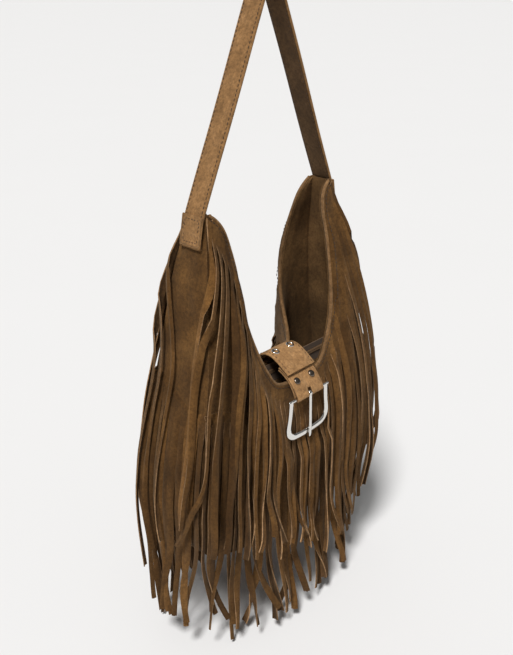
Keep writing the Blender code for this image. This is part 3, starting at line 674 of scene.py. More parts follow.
def section_point(depth, sign, z, s, off):
    """Point, across direction and outward normal at signed distance s from the middle, round the bag's corner and along its side."""
    zz = max(z, 185.0)
    a = half_width(zz) + 0.8
    side = 1.0 if s > 0 else -1.0
    if abs(s) <= a:
        y = sign * (drape(depth, s, z) + off)
        y2 = sign * (drape(depth, s + 1.0, z) + off) if abs(s + 1.0) < a else y
        t = np.array((1.0, y2 - y, 0.0))
        t /= np.linalg.norm(t)
        n_ = np.array((t[1], -t[0], 0.0))
        return np.array((s, y, z)), t, n_ * (1 if n_[1] * sign > 0 else -1)
    d = drape(depth, side * a, z)
    r_ = min(off, 3.2) + 1.0
    u_ = abs(s) - a
    quarter = r_ * math.pi / 2
    if u_ < quarter:
        g = u_ / r_
        p = np.array((side * (a + r_ * math.sin(g)), sign * (d + off - (r_ + 2.0) * (1 - math.cos(g))), z))
        n_ = np.array((side * math.sin(g), sign * math.cos(g), 0.0))
    else:
        p = np.array((side * (a + r_), sign * (d + off - r_ - 2.0 - (u_ - quarter)), z))
        n_ = np.array((side, 0.0, 0.0))
    return p, np.array((-n_[1] * side * sign, n_[0] * side * sign, 0.0)) * (1 if side * sign * -n_[1] * 1 >= 0 else 1), n_


YOKE_ROWS, STRIP_ROWS = 7, 34


def wander(s, phase, amount):
    return amount * (math.sin(phase + 4.2 * s) - math.sin(phase) + 0.5 * math.sin(2.1 * phase + 9.0 * s) - 0.5 * math.sin(2.1 * phase))


def upper_fringe(name, depth, sign, lift, seed, fold_round):
    rng = random.Random(seed)
    sheet = Sheet()
    n = UPPER_STRIPS
    face = 1 if sign < 0 else -1
    for k in range(n):
        ends = []
        for side in (0, 1):
            rho = -1 + 2 * (k + side) / n + (-1 if side else 1) * (SLIT / 2) / 150
            lo, hi = 250.0, 475.0
            for _ in range(30):
                zc = (lo + hi) / 2
                x = rho * half_width(zc)
                if zc > neck_at(x) + lift * math.exp(-((x / 40) ** 2)):
                    hi = zc
                else:
                    lo = zc
            top = lo
            if abs(rho) > 0.93:
                top = HORN_Z - 2.0 - 6.0 * (1 - abs(rho)) / 0.07
            start = min((slit_top if sign < 0 else slit_back)(abs(rho)) + (lift * 0.6 * math.exp(-((rho * 3) ** 2)) if lift else 0.0), top - 8)
            ends.append((rho, top, start))
        mid_rho = (ends[0][0] + ends[1][0]) / 2
        tip = upper_tip(mid_rho * face) + 5 * math.sin(k * 2.4) + rng.uniform(-12, 12)

        def surface(rho, z):
            zz = max(z, 185.0)
            x = rho * (half_width(zz) + 0.8)
            off = sheet_offset(rho * half_width(zz), z) + FRINGE / 2
            return np.array((x, sign * (drape(depth, x, z) + off), z))

        out = np.array((0.0, float(sign), 0.0))
        yoke = []
        for r_ in range(YOKE_ROWS):
            f = r_ / (YOKE_ROWS - 1)
            l = surface(ends[0][0], ends[0][1] + (ends[0][2] - ends[0][1]) * f)
            q = surface(ends[1][0], ends[1][1] + (ends[1][2] - ends[1][1]) * f)
            m_ = surface(mid_rho, (l[2] + q[2]) / 2)
            yoke.append((l, m_, q, out))
        z0 = (ends[0][2] + ends[1][2]) / 2
        w0 = abs(float(yoke[-1][2][0] - yoke[-1][0][0])) / 2
        full = 3.55 + 0.5 * smooth((abs((ends[0][0] + ends[1][0]) / 2) - 0.55) / 0.3)
        edge_side = 1.0 if mid_rho > 0 else -1.0
        near = smooth((abs(mid_rho) - 0.58) / 0.42)
        spread = fold_round[0 if edge_side < 0 else 1] * near ** 1.3
        clump = noise(k * 0.42, 0.4, seed)
        big = rng.random()
        lay = rng.choice((-1, 1)) * rng.uniform(0.1, 0.9)
        twist = rng.choice((-1, 1)) * (rng.uniform(0.0, 0.7) if big < 0.6 else rng.uniform(0.9, 2.4))
        twist_from = rng.uniform(0.15, 0.6)
        raise_by = rng.uniform(0.3, 5.0)
        sway = 7.0 * clump + rng.uniform(-4, 4)
        phase = rng.uniform(0, 6.28)
        curl_out = rng.uniform(7, 24) if rng.random() < 0.85 else rng.uniform(-3, 5)
        curl_side = 13.0 * noise(k * 0.6, 2.2, seed + 1) + rng.uniform(-13, 13) + (7.0 * mid_rho * face if sign < 0 else 0.0)
        slim = rng.uniform(0.70, 0.93)
        fly = 1.0 if abs(mid_rho) > 0.9 and rng.random() < 0.4 else 0.0
        rows = []
        for r_ in range(1, STRIP_ROWS + 1):
            s = r_ / STRIP_ROWS
            z = z0 + (tip - z0) * s
            zz = max(z, 185.0)
            g = smooth(s * 2.2)
            hung = smooth((z0 - z) / 150.0)
            along = mid_rho * (half_width(zz) + 0.8) + edge_side * spread * hung
            tipf = max(0.0, (s - 0.64) / 0.36)
            along += sway * g * s + wander(s, phase, 2.4 * g) + curl_side * tipf**1.8
            off = sheet_offset(mid_rho * half_width(zz), z) + FRINGE / 2
            p, across, nrm = section_point(depth, sign, z, along, off)
            if nrm[0] * nrm[0] > 0.02:
                start_on_face = 1 - smooth(s * 3)
                nrm = nrm + out * start_on_face
                nrm /= np.linalg.norm(nrm)
            turn = lay * smooth(s * 9) + (twist * smooth((s - twist_from) / (1 - twist_from)) if s > twist_from else 0.0)
            free = 1.0
            if sign < 0 and z > 205:
                free = max(smooth((abs(along) - 33) / 9), smooth((228 - z) / 24))
            turn *= 0.25 + 0.75 * free
            half = (w0 + (full * slim - w0) * smooth(s * 5)) * (1 - 0.05 * s)
            cup = (0.35 + 1.15 * free) * smooth(s * 8)
            stand = raise_by * smooth(s * 4) + abs(math.sin(turn)) * half * 0.9 + 1.5 * g * (1 + math.sin(phase * 1.7 + 6 * s))
            past = smooth((abs(along) - half_width(zz) + 8) / 16)
            stand *= 1 - 0.55 * past
            if sign < 0 and edge_side > 0:
                stand += 6.0 * near * hung * g * (1 - past)
            if sign > 0 and abs(mid_rho) < 0.80:
                quiet = smooth((330 - z) / 90)
                stand *= quiet
                turn *= quiet
                cup *= quiet
            stand *= free
            c = p + nrm * (stand + curl_out * tipf**2)
            c = c + np.array((edge_side * 5.0 * fly * tipf**2, 0.0, 0.0))
            c[2] += (abs(curl_out) + abs(curl_side)) * 0.25 * tipf**2.6
            rows.append((clip(c), across, nrm, half, cup, turn))
        tone = 0.5 + 0.24 * noise(k * 0.8, 1.0, seed + 2) + rng.uniform(-0.22, 0.22)
        sheet.strip(yoke, rows, tone, (ends[0][2] - z0, ends[1][2] - z0))
    return sheet.build(name, YOKE_ROWS), sheet


front_fringe, front_sheet = upper_fringe("fringe_sheet_front", front_depth, -1, 0.0, 11, (22.0, 12.0))
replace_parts(front_fringe, "upper_fringe_front")
back_fringe, back_sheet = upper_fringe("fringe_sheet_back", back_depth, 1, 10.0, 23, (40.0, 20.0))
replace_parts(back_fringe, "upper_fringe_back")


def lower_fringe(seed=37):
    rng = random.Random(seed)
    sheet = Sheet()
    ring = [("front", -1 + 2 * k / LOWER_FRONT, -1 + 2 * (k + 1) / LOWER_FRONT) for k in range(LOWER_FRONT)]
    ring += [("right", k / LOWER_SIDE, (k + 1) / LOWER_SIDE) for k in range(LOWER_SIDE)]
    ring += [("back", 1 - 2 * k / LOWER_FRONT, 1 - 2 * (k + 1) / LOWER_FRONT) for k in range(LOWER_FRONT)]
    ring += [("left", k / LOWER_SIDE, (k + 1) / LOWER_SIDE) for k in range(LOWER_SIDE)]
    way = {"front": ((0, -1, 0), (1, 0, 0)), "right": ((1, 0, 0), (0, 1, 0)), "back": ((0, 1, 0), (-1, 0, 0)), "left": ((-1, 0, 0), (0, -1, 0))}
    off = LOWER_OFF + FRINGE / 2

    def place(part, t, z):
        zz = max(z, 185.0)
        a = half_width(zz)
        if part == "front":
            x = t * (a + off)
            return np.array((x, -(drape(front_depth, x, z) + off), z))
        if part == "back":
            x = t * (a + off)
            return np.array((x, drape(back_depth, x, z) + off, z))
        f = drape(front_depth, a, z) + off
        b_ = drape(back_depth, a, z) + off
        if part == "right":
            return np.array((a + off, -f + (f + b_) * t, z))
        return np.array((-(a + off), b_ - (f + b_) * t, z))

    for k, (part, t0, t1) in enumerate(ring):
        span = 275.0 if part in ("front", "back") else 92.0
        trim = SLIT / 2 / span * (2 if part in ("front", "back") else 1)
        grow = 1 if t1 > t0 else -1
        out, side = (np.array(v, float) for v in way[part])
        corner = 0.0
        if part == "front":
            corner = smooth((abs(t0 + t1) / 2 - 0.72) / 0.28)
        elif part in ("left", "right"):
            q = (t0 + t1) / 2 if part == "right" else 1 - (t0 + t1) / 2
            corner = 0.75 + 0.25 * smooth((0.5 - q) / 0.5)
        tip = max(2.0, 13 + 12 * math.sin(k * 1.9) * math.cos(k * 0.7)) + rng.uniform(-5, 9) + (24 if part == "front" else 34) * corner
        ta, tb = t0 + grow * trim, t1 - grow * trim
        heads = [lower_head(*place(part, t, 250)[:2]) for t in (ta, tb)]
        yoke = []
        for r_ in range(3):
            l, q = place(part, ta, heads[0] - 9 * r_ / 2), place(part, tb, heads[1] - 9 * r_ / 2)
            if r_ == 0:  # the top edge is sewn down, so it sits in the body's suede
                l, q = l - out * (off + FRINGE / 2), q - out * (off + FRINGE / 2)
            yoke.append((l, (l + q) / 2, q, out))
        w0 = float(np.linalg.norm(yoke[-1][2] - yoke[-1][0])) / 2
        z0 = (heads[0] + heads[1]) / 2 - 9
        big = rng.random()
        lay = rng.choice((-1, 1)) * rng.uniform(0.05, 0.55)
        twist = rng.choice((-1, 1)) * (rng.uniform(0.1, 0.9) if big < 0.62 else rng.uniform(1.2, 2.8))
        twist_from = rng.uniform(0.40, 0.72)
        sway = 6.0 * noise(k * 0.45, 0.9, seed) + rng.uniform(-4, 4)
        phase = rng.uniform(0, 6.28)
        front_mid = smooth((0.75 - abs(t0 + t1) / 2) / 0.3) if part == "front" else 0.0
        curl_out = rng.uniform(2, 15) + 9 * front_mid if rng.random() < 0.8 else rng.uniform(-12, 3)
        curl_side = 15.0 * noise(k * 0.7, 3.0, seed) + rng.uniform(-17, 17)
        slim = rng.uniform(0.78, 0.96)
        rows = []
        for r_ in range(1, STRIP_ROWS + 1):
            s = r_ / STRIP_ROWS
            z = z0 + (tip - z0) * s
            tm = (ta + tb) / 2
            p = place(part, tm, z)
            g = smooth(s * 1.6)
            free = smooth((135 - z) / 60)
            turn = lay * smooth(s * 9) + (twist * smooth((s - twist_from) / (1 - twist_from)) if s > twist_from else 0.0)
            half = w0 * (1 - (1 - slim) * smooth(s * 8))
            tipf = max(0.0, (s - 0.6) / 0.4)
            c = p + side * ((sway * g * s + wander(s, phase, 2.6 * g)) * (0.35 + 0.65 * free) + curl_side * tipf**1.6)
            c = c + out * (0.8 * g * (1 + math.sin(phase * 1.7 + 6 * s)) * (0.4 + 2.0 * free) + abs(math.sin(turn)) * half * 0.8 + curl_out * tipf**1.6)
            c[2] += (abs(curl_out) + abs(curl_side)) * 0.25 * tipf**2.6
            rows.append((clip(c), side, out, half, 1.2 * smooth(s * 8), turn))
        tone = 0.44 + 0.22 * noise(k * 0.8, 2.0, seed) + rng.uniform(-0.2, 0.2)
        sheet.strip(yoke, rows, tone)
    return sheet.build("fringe_sheet_lower", 3), sheet


low_fringe, low_sheet = lower_fringe()
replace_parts(low_fringe, "lower_fringe")


# ------------------------------------------- neck edge: turned, stitched borders
def neck_bead(name, depth, sign, lift):
    """The neck's turned edge: a soft roll sewn over panel and fringe sheet, following the cut-out."""
    line = neck_line(110, drop=0.0, lift=lift)
    line = [(x * min(1.0, 86.0 / max(abs(x), 86.0)), z) for x, z in line]
    path, us, vs = [], [], []
    n = len(line)
    for i, (x, z) in enumerate(line):
        d = depth(x, z)
        c = np.array((x, sign * (d + (0.4 + FRINGE - SUEDE) / 2), z))
        a, b = line[max(0, i - 1)], line[min(n - 1, i + 1)]
        t = np.array((b[0] - a[0], 0.0, b[1] - a[1]))
        t /= np.linalg.norm(t)
        inward = np.array((-t[2], 0.0, t[0]))
        path.append(c + inward * -0.9)
        us.append(np.array((0.0, sign, 0.0)))
        vs.append(inward)
    section = []
    thick = (0.4 + FRINGE + SUEDE) / 2 + 0.22
    for k in range(14):
        a = 2 * math.pi * k / 14
        section.append((thick * (abs(math.cos(a)) ** 0.7) * (1 if math.cos(a) > 0 else -1), 1.5 * (abs(math.sin(a)) ** 0.85) * (1 if math.sin(a) > 0 else -1)))
    o = sweep(name, path, us, vs, section, [BEAD_MAT], SLOT_SUEDE, angle=70)
    return o


BEAD_MAT = suede("suede_turned_edge", (0.13, 0.068, 0.026), (0.18, 0.097, 0.040), (0.25, 0.142, 0.064), tone=False, patch=110.0)
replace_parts(neck_bead("neck_edge_front", front_depth, -1, 0.0), "front_panel")
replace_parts(neck_bead("neck_edge_back", back_depth, 1, 10.0), "back_panel")


def neck_stitch_run(depth, sign, lift, inset, extra):
    line = neck_line(150, lift=lift)
    pts = []
    n = len(line)
    for i, (x, z) in enumerate(line):
        a, b = line[max(0, i - 1)], line[min(n - 1, i + 1)]
        t = Vector((b[0] - a[0], b[1] - a[1])).normalized()
        px, pz = x + t.y * inset, z - t.x * inset
        if pz < 472:
            off = sheet_offset(px, pz) + FRINGE + extra
            pts.append((px, sign * (drape(depth, px, pz) + off), pz))
    return pts


def yward(sign):
    return lambda c: np.array((0.0, float(sign), 0.0))


stitches("neck_stitches_front", [(neck_stitch_run(front_depth, -1, 0.0, 4.4, 0.12), yward(-1))], seed=3)
stitches("neck_stitches_back", [(neck_stitch_run(back_depth, 1, 10.0, 4.4, 0.12), yward(1))], seed=4)


# ------------------------------------------------------------ strap and patches
def strap_centre():
    pts = []
    for z in (444.0, 460.0):
        pts.append((-(half_width(444) + 1.95), z))
    pts.append((-92.1, 476.0))
    cz = 651.776
    for k in range(25):
        a = math.radians(156.3 - (156.3 - 23.7) * k / 24)
        pts.append((STRAP_R * math.cos(a), cz + STRAP_R * math.sin(a)))
    pts.append((92.1, 476.0))
    for z in (460.0, 444.0):
        pts.append((half_width(444) + 1.95, z))
    return pts


def rounded(width, thick, steps=4, bulge_by=0.12):
    """Flat section with rounded edges, a little proud down the middle."""
    r = thick / 2 * 0.92
    pts = []
    for side, start in ((1, -90), (-1, 90)):
        for k in range(steps + 1):
            a = math.radians(start + 180 * k / steps)
            pts.append((side * (width / 2 - r) + r * math.cos(a) * (1 if side > 0 else 1), thick / 2 * math.sin(a)))
        if side > 0:
            for q in (0.6, 0.2, -0.2, -0.6):
                pts.append((q * (width / 2 - r), thick / 2 + bulge_by))
        else:
            for q in (-0.6, -0.2, 0.2, 0.6):
                pts.append((q * (width / 2 - r), -thick / 2 - bulge_by))
    return pts


line = resample([(x, 0.0, z) for x, z in strap_centre()], 3.2)
path, us, vs = [], [], []
for i, p in enumerate(line):
    a, b = line[max(0, i - 1)], line[min(len(line) - 1, i + 1)]
    t = (b - a) / np.linalg.norm(b - a)
    nrm = np.array((-t[2], 0.0, t[0]))
    path.append(p + np.array((0.0, 0.35 * math.sin(i / 9.0), 0.0)))
    us.append(np.array((0.0, 1.0, 0.0)))
    vs.append(nrm)
strap = sweep("strap_leather", path, us, vs, rounded(STRAP_W, STRAP_T - 0.25), [STRAP_MAT], SLOT_SUEDE, angle=60)
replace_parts(strap, "shoulder_strap")
edge = sweep("strap_inner_face", [p - v * (STRAP_T / 2 + 0.02) for p, v in zip(path, vs)], us, vs, rounded(STRAP_W - 2.0, 0.5, 2, 0.05), [FLESH_STRAP := suede("strap_flesh_side", (0.055, 0.029, 0.012), (0.075, 0.04, 0.017), (0.11, 0.06, 0.026), sheen=0.12, tone=False, patch=45.0)], SLOT_SUEDE, angle=60)
runs = []
for y in (-(STRAP_W / 2 - 2.6), STRAP_W / 2 - 2.6):
    for side in (1, -1):
        pts = [p + np.array((0, y, 0)) + v * side * (STRAP_T / 2 + 0.1) for p, v in zip(path, vs)][5:-5]
        nrm = vs[5:-5]
        for lo in range(0, len(pts) - 1, 12):
            seg = pts[lo:lo + 13]
            mid = nrm[min(len(nrm) - 1, lo + 6)]
            runs.append((seg, tuple(mid * side)))
stitches("strap_stitches", runs, pitch=4.0, length=2.8, radius=0.42, seed=5)

for side, tag in ((-1, "left"), (1, "right")):
    zs = [446.0, 449, 453, 459, 466, 474.5]
    pts, u2, v2 = [], [], []
    for i, z in enumerate(zs):
        x = side * (half_width(z) + 0.45 + 3 + 0.4 + 0.8)
        pts.append(np.array((x, 0.0, z)))
    dense = spline(pts, 3)
    for i, p in enumerate(dense):
        a, b = dense[max(0, i - 1)], dense[min(len(dense) - 1, i + 1)]
        t = (b - a) / np.linalg.norm(b - a)
        u2.append(np.array((0.0, 1.0, 0.0)))
        v2.append(np.array((side * t[2], 0.0, -side * t[0])))
    body_patch = sweep("patch_leather_" + tag, dense, u2, v2, rounded(PATCH := 27.0, 1.7, 3, 0.25), [STRAP_MAT], SLOT_SUEDE, angle=60)
    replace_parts(body_patch, "strap_patch_" + tag)
    # a turned rim round three edges
    rim = []
    x_of = lambda z: side * (half_width(z) + 0.45 + 3 + 0.4 + 1.75)
    loop_pts = [(x_of(474), -12.2, 474.0), (x_of(459), -12.2, 459.0), (x_of(448.5), -12.2, 448.5), (x_of(447.8), -10.5, 447.4), (x_of(447.6), 0.0, 447.2), (x_of(447.8), 10.5, 447.4), (x_of(448.5), 12.2, 448.5), (x_of(458), 12.2, 458.0), (x_of(474), 12.2, 474.0)]
    dense2 = resample(loop_pts, 2.5)
    nv = [np.array((float(side), 0.0, 0.0)) for _ in dense2]
    nu = []
    for i, p in enumerate(dense2):
        a, b = dense2[max(0, i - 1)], dense2[min(len(dense2) - 1, i + 1)]
        nu.append(np.cross((b - a) / np.linalg.norm(b - a), nv[i]))
    circle = [(0.95 * math.cos(2 * math.pi * k / 10), 0.55 * math.sin(2 * math.pi * k / 10)) for k in range(10)]
    sweep("patch_rim_" + tag, dense2, nu, nv, circle, [BEAD_MAT], SLOT_SUEDE, angle=80)
    inner_box = [(x_of(471) + side * 0.0, -9.0, 471.0), (x_of(458), -9.2, 458.0), (x_of(450.5), -9.0, 450.5), (x_of(450.5), 9.0, 450.5), (x_of(458), 9.2, 458.0), (x_of(471), 9.0, 471.0)]
    segs = [([np.array(inner_box[0]), np.array(inner_box[1]), np.array(inner_box[2])], (side, 0, 0)), ([np.array(inner_box[2]), np.array(inner_box[3])], (side, 0, 0)),
            ([np.array(inner_box[3]), np.array(inner_box[4]), np.array(inner_box[5])], (side, 0, 0)), ([np.array(inner_box[5]), np.array(inner_box[0])], (side, 0, 0))]
    stitches("patch_stitches_" + tag, segs, pitch=3.6, length=2.6, radius=0.4, seed=6)


# ---------------------------------------------------------------- tab and loop
def yz_path(points, per=5):
    return [np.array((0.0, float(p[0]), float(p[1]))) for p in spline([(y, z) for y, z in points], per)]


tab_pts = [(back_depth(21.5, z) + sheet_offset(21.5, z) + 1.2 + 3.0, z) for z in (262.0, 271.0, 280.0, 289.0, 296.0)]
tab_pts += [(-9.4, 303.8), (-14.0, 309.8), (-20, 313.8), (-26.5, 315.3), (-33, 314.2), (-40, 310.8), (-47.5, 306), (-54.5, 301)]
TAB_MAT = suede("suede_tab", (0.29, 0.155, 0.063), (0.345, 0.188, 0.078), (0.41, 0.235, 0.105), sheen=0.12, tone=False, patch=60.0)


def ribbon_frames(line, up=(0, 0, 1)):
    us_, vs_ = [], []
    for i in range(len(line)):
        a, b = line[max(0, i - 1)], line[min(len(line) - 1, i + 1)]
        t = (b - a) / np.linalg.norm(b - a)
        us_.append(np.array((1.0, 0.0, 0.0)))
        vs_.append(np.cross(us_[-1], t))
    return us_, vs_


tab_line = yz_path(tab_pts)
tu, tv = ribbon_frames(tab_line)
tab_body = sweep("tab_suede", tab_line, tu, tv, rounded(TAB_W, TAB_T, 4, 0.1), [TAB_MAT], SLOT_SUEDE, angle=60)
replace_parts(tab_body, "closure_tab")
runs = []
for x in (-(TAB_W / 2 - 3.2), TAB_W / 2 - 3.2):
    for side in (1, -1):
        pts = [p + np.array((x, 0, 0)) + v * side * (TAB_T / 2 + 0.1) for p, v in zip(tab_line, tv)]
        for lo in range(0, len(pts) - 1, 6):
            seg = pts[lo:lo + 7]
            if len(seg) > 1:
                runs.append((seg, tuple(tv[min(len(tv) - 1, lo + 3)] * side)))
end = tab_line[-3] + tv[-3] * (TAB_T / 2 + 0.1)
runs.append(([end + np.array((-18.0, 0, 0)), end + np.array((18.0, 0, 0))], tuple(tv[-3])))
stitches("tab_stitches", runs, pitch=4.0, length=2.8, radius=0.36, mat=THREAD, seed=7)

# loop: a strip doubled round the buckle's bar, with a slot for the prong
LOOP_R = BAR_D / 2 + GAP + LOOP_T / 2
loop_top = spline([(0.0, -41.0, 304.6), (0.0, -46.5, 302.2), (0.0, -52.0, 298.4), (0.0, -57.4, 293.4), (0.0, -62.2, 287.6), (0.0, -65.6, 282.8)], 4)
bend = [np.array((0.0, BAR_Y + LOOP_R * math.cos(math.radians(a)), BAR_Z + LOOP_R * math.sin(math.radians(a)))) for a in range(150, 391, 15)]
loop_under = spline([(0.0, -61.2, 283.4), (0.0, -57.8, 289.2), (0.0, -52.8, 294.9), (0.0, -46.6, 299.2), (0.0, -40.8, 302.0)], 4)
loop_line = loop_top + bend + loop_under
slot_from, slot_to = 19, len(loop_top) + len(bend) - 1
xs_cols = [-20.5, -19.9, -14.0, -8.0, -2.9, -2.6, 2.6, 2.9, 8.0, 14.0, 19.9, 20.5]
lu, lv = ribbon_frames(loop_line)
outer, inner = [], []
for i, (p, v) in enumerate(zip(loop_line, lv)):
    for x in xs_cols:
        soft = 0.0 if abs(x) < 20.2 and not 2.5 < abs(x) < 2.7 else 0.25
        outer.append(tuple(p + np.array((x, 0, 0)) + v * (LOOP_T / 2 - soft)))
        inner.append(tuple(p + np.array((x, 0, 0)) - v * (LOOP_T / 2 - soft)))
m = len(xs_cols)
loop_faces = []
for i in range(len(loop_line) - 1):
    for k in range(m - 1):
        if k == 5 and slot_from <= i < slot_to:
            continue
        loop_faces.append((i * m + k, i * m + k + 1, (i + 1) * m + k + 1, (i + 1) * m + k))
loop = slab("loop_suede", outer, inner, loop_faces, [TAB_MAT, BEAD_MAT], SLOT_SUEDE, wall_mat=1, angle=60)
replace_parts(loop, "buckle_loop")
runs = []
for x in (-17.6, 17.6):
    for lo in range(0, len(loop_top) - 1, 4):
        seg, nn = [], None
        for p, v in list(zip(loop_top, lv))[lo:lo + 5]:
            o_ = v if v[1] < 0 else -v
            seg.append(p + np.array((x, 0, 0)) + o_ * (LOOP_T / 2 + 0.1))
            nn = o_
        if len(seg) > 1:
            runs.append((seg, tuple(nn)))
stitches("loop_stitches", runs, pitch=3.8, length=2.5, radius=0.28, mat=THREAD_TAN, seed=8)


# --------------------------------------------------------------------- buckle
def frame_centre():
    top, bottom = BAR_Z, BAR_Z - FRAME_H + FRAME_B / 2
    wt, wb, r = FRAME_W / 2 - 3.4, FRAME_W / 2 - 0.2, 12.0
    left = [(-wt, top + 1.0), (-wt - 0.6, top - 9), (-wt - 1.6, top - 19), (-wb, bottom + r + 3)]
    corner = [(-wb + r - r * math.cos(math.radians(a)), bottom + r - r * math.sin(math.radians(a))) for a in (10, 30, 50, 70, 90)]
    half = left + corner + [(-10, bottom - 0.8), (0, bottom - 1.0)]
    return half + [(-x, z) for x, z in reversed(half[:-1])]


fine = resample(spline([(x, BAR_Y, z) for x, z in frame_centre()], 6), 1.6)
us, vs = [], []
for i in range(len(fine)):
    a, b = fine[max(0, i - 1)], fine[min(len(fine) - 1, i + 1)]
    t = (b - a) / np.linalg.norm(b - a)
    us.append(np.array((t[2], 0.0, -t[0])))
    vs.append(np.array((0.0, 1.0, 0.0)))
bevelled = [(-2.8, 0.9), (-2.6, 1.2), (-2.2, 1.35), (2.2, 1.35), (2.6, 1.2), (2.8, 0.9), (2.8, 0.0), (2.62, -0.42), (2.25, -0.82), (1.75, -1.17), (1.2, -1.42), (0.6, -1.56), (0.0, -1.6), (-0.6, -1.56), (-1.2, -1.42), (-1.75, -1.17), (-2.25, -0.82), (-2.62, -0.42), (-2.8, 0.0)]
us = [q * (1.0 + 0.28 * smooth((BAR_Z - 20 - p[2]) / 18)) for p, q in zip(fine, us)]
frame_look = sweep("buckle_rim", fine, us, vs, bevelled, [NICKEL], SLOT_NICKEL, body="buckle_frame", angle=28)
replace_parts(frame_look, "buckle_frame")
bar_path = [np.array((x, BAR_Y, BAR_Z)) for x in (-31.6, -31.4, -31.0, -30.0, -15.0, 0.0, 15.0, 30.0, 31.0, 31.4, 31.6)]
radii = [0.9, 1.3, 1.6, 1.7, 1.7, 1.7, 1.7, 1.7, 1.6, 1.3, 0.9]
pts, fcs = [], []
for p, r in zip(bar_path, radii):
    for k in range(24):
        a = 2 * math.pi * k / 24
        pts.append((p[0], p[1] + r * math.cos(a), p[2] + r * math.sin(a)))
for i in range(len(bar_path) - 1):
    for k in range(24):
        l = (k + 1) % 24
        fcs.append((i * 24 + k, i * 24 + l, (i + 1) * 24 + l, (i + 1) * 24 + k))
fcs += [tuple(range(24)), tuple((len(bar_path) - 1) * 24 + k for k in reversed(range(24)))]
bar_look = make("buckle_bar", pts, fcs, [NICKEL], SLOT_NICKEL, angle=40, body="buckle_frame")
fix_normals(bar_look)
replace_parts(bar_look, "buckle_frame")

# prong
pr = BAR_D / 2 + GAP + 0.75
tip_y = BAR_Y - FRAME_T / 2 - GAP - 1.1
eye = [np.array((0.0, BAR_Y + pr * math.cos(math.radians(a)), BAR_Z + pr * math.sin(math.radians(a)))) for a in range(-60, 226, 11)]
tongue = spline([tuple(eye[-1]), (0, BAR_Y - 2.35, BAR_Z - 8), (0, BAR_Y - 2.6, BAR_Z - 20), (0, tip_y - 0.05, BAR_Z - 36), (0, tip_y - 0.05, BAR_Z - FRAME_H + 1), (0, tip_y + 0.3, BAR_Z - FRAME_H - 3.6)], 6)
pl = eye + tongue[1:]
us, vs = [], []
for i in range(len(pl)):
    a, b = pl[max(0, i - 1)], pl[min(len(pl) - 1, i + 1)]
    t = (b - a) / np.linalg.norm(b - a)
    us.append(np.array((1.0, 0.0, 0.0)))
    vs.append(np.cross(us[-1], t))
pts, fcs = [], []
ring = 16
for i, (p, u, v) in enumerate(zip(pl, us, vs)):
    f = smooth((i - len(eye)) / 10)
    end_taper = 1.0 - 0.35 * smooth((i - (len(pl) - 7)) / 6)
    wide, thick = 1.9 * end_taper, 0.72 + 0.45 * f
    for k in range(ring):
        a = 2 * math.pi * k / ring
        ca, sa = math.cos(a), math.sin(a)
        pts.append(tuple(p + u * wide * math.copysign(abs(ca) ** 0.6, ca) + v * thick * math.copysign(abs(sa) ** 0.6, sa)))
for i in range(len(pl) - 1):
    for k in range(ring):
        l = (k + 1) % ring
        fcs.append((i * ring + k, i * ring + l, (i + 1) * ring + l, (i + 1) * ring + k))
fcs += [tuple(range(ring)), tuple((len(pl) - 1) * ring + k for k in reversed(range(ring)))]
prong_look = make("prong_tongue", pts, fcs, [NICKEL], SLOT_NICKEL, angle=45, body="buckle_prong")
fix_normals(prong_look)
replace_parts(prong_look, "buckle_prong")


# ------------------------------------------------- eyelets, rivets and the clasp
def turned(name, centre, axis, profile, mat, slot, sides=40, open_middle=False, closes=None, body="bag"):
    w = np.array(axis, float)
    w /= np.linalg.norm(w)
    u = np.array((1.0, 0.0, 0.0))
    v = np.cross(w, u)
    v /= np.linalg.norm(v)
    c = np.array(centre, float)
    pts_, fcs_ = [], []
    for r, h in profile:
        for k in range(sides):
            a = 2 * math.pi * k / sides
            pts_.append(tuple(c + u * r * math.cos(a) + v * r * math.sin(a) + w * h))
    m_ = len(profile)
    for i in range(m_ if open_middle else m_ - 1):
        j = (i + 1) % m_
        for k in range(sides):
            l = (k + 1) % sides
            fcs_.append((i * sides + k, i * sides + l, j * sides + l, j * sides + k))
    if not open_middle:
        fcs_.append(tuple(range(sides)))
        fcs_.append(tuple((m_ - 1) * sides + k for k in reversed(range(sides))))
    o = make(name, pts_, fcs_, [mat], slot, angle=40, body=body)
    fix_normals(o)
    return o


for side, tag in ((-1, "left"), (1, "right")):
    n_ = np.array((0, -0.22, 1.0))
    n_ /= np.linalg.norm(n_)
    c = np.array((side * 11.5, -28.6, 315.1)) + n_ * (TAB_T / 2 + 0.2)
    roll = [(3.4 + 1.1 * math.cos(math.radians(a)), 0.1 + 1.1 * math.sin(math.radians(a)) if math.sin(math.radians(a)) > 0 else 0.1) for a in range(0, 181, 15)]
    e = turned("eyelet_" + tag, c, n_, roll + [(2.3, -0.6), (2.9, -0.6)], NICKEL, SLOT_NICKEL, open_middle=True)
    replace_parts(e, "tab_eyelet_" + tag)
    # a dark disc inside each eyelet: painted shadow in place of the shade in a real hole, since the tab is not cut
    # through
    turned("eyelet_dark_" + tag, c - n_ * 0.5, n_, [(2.35, 0.0), (2.35, 0.35)], PAINTED_HOLE_SHADOW, SLOT_SUEDE, sides=28)
    n_ = np.array((0, -0.66, 0.75))
    n_ /= np.linalg.norm(n_)
    c = np.array((side * 11.5, -58.2, 292.5)) + n_ * (LOOP_T / 2 + 0.15)
    dome = [(3.7, 0.0), (3.85, 0.25), (3.75, 0.6)] + [(3.6 * math.cos(math.radians(a)), 0.65 + 1.25 * math.sin(math.radians(a))) for a in (8, 20, 35, 50, 65, 80)]
    r_ = turned("rivet_" + tag, c, n_, dome, DARK_NICKEL, SLOT_DARK)
    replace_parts(r_, "loop_rivet_" + tag)

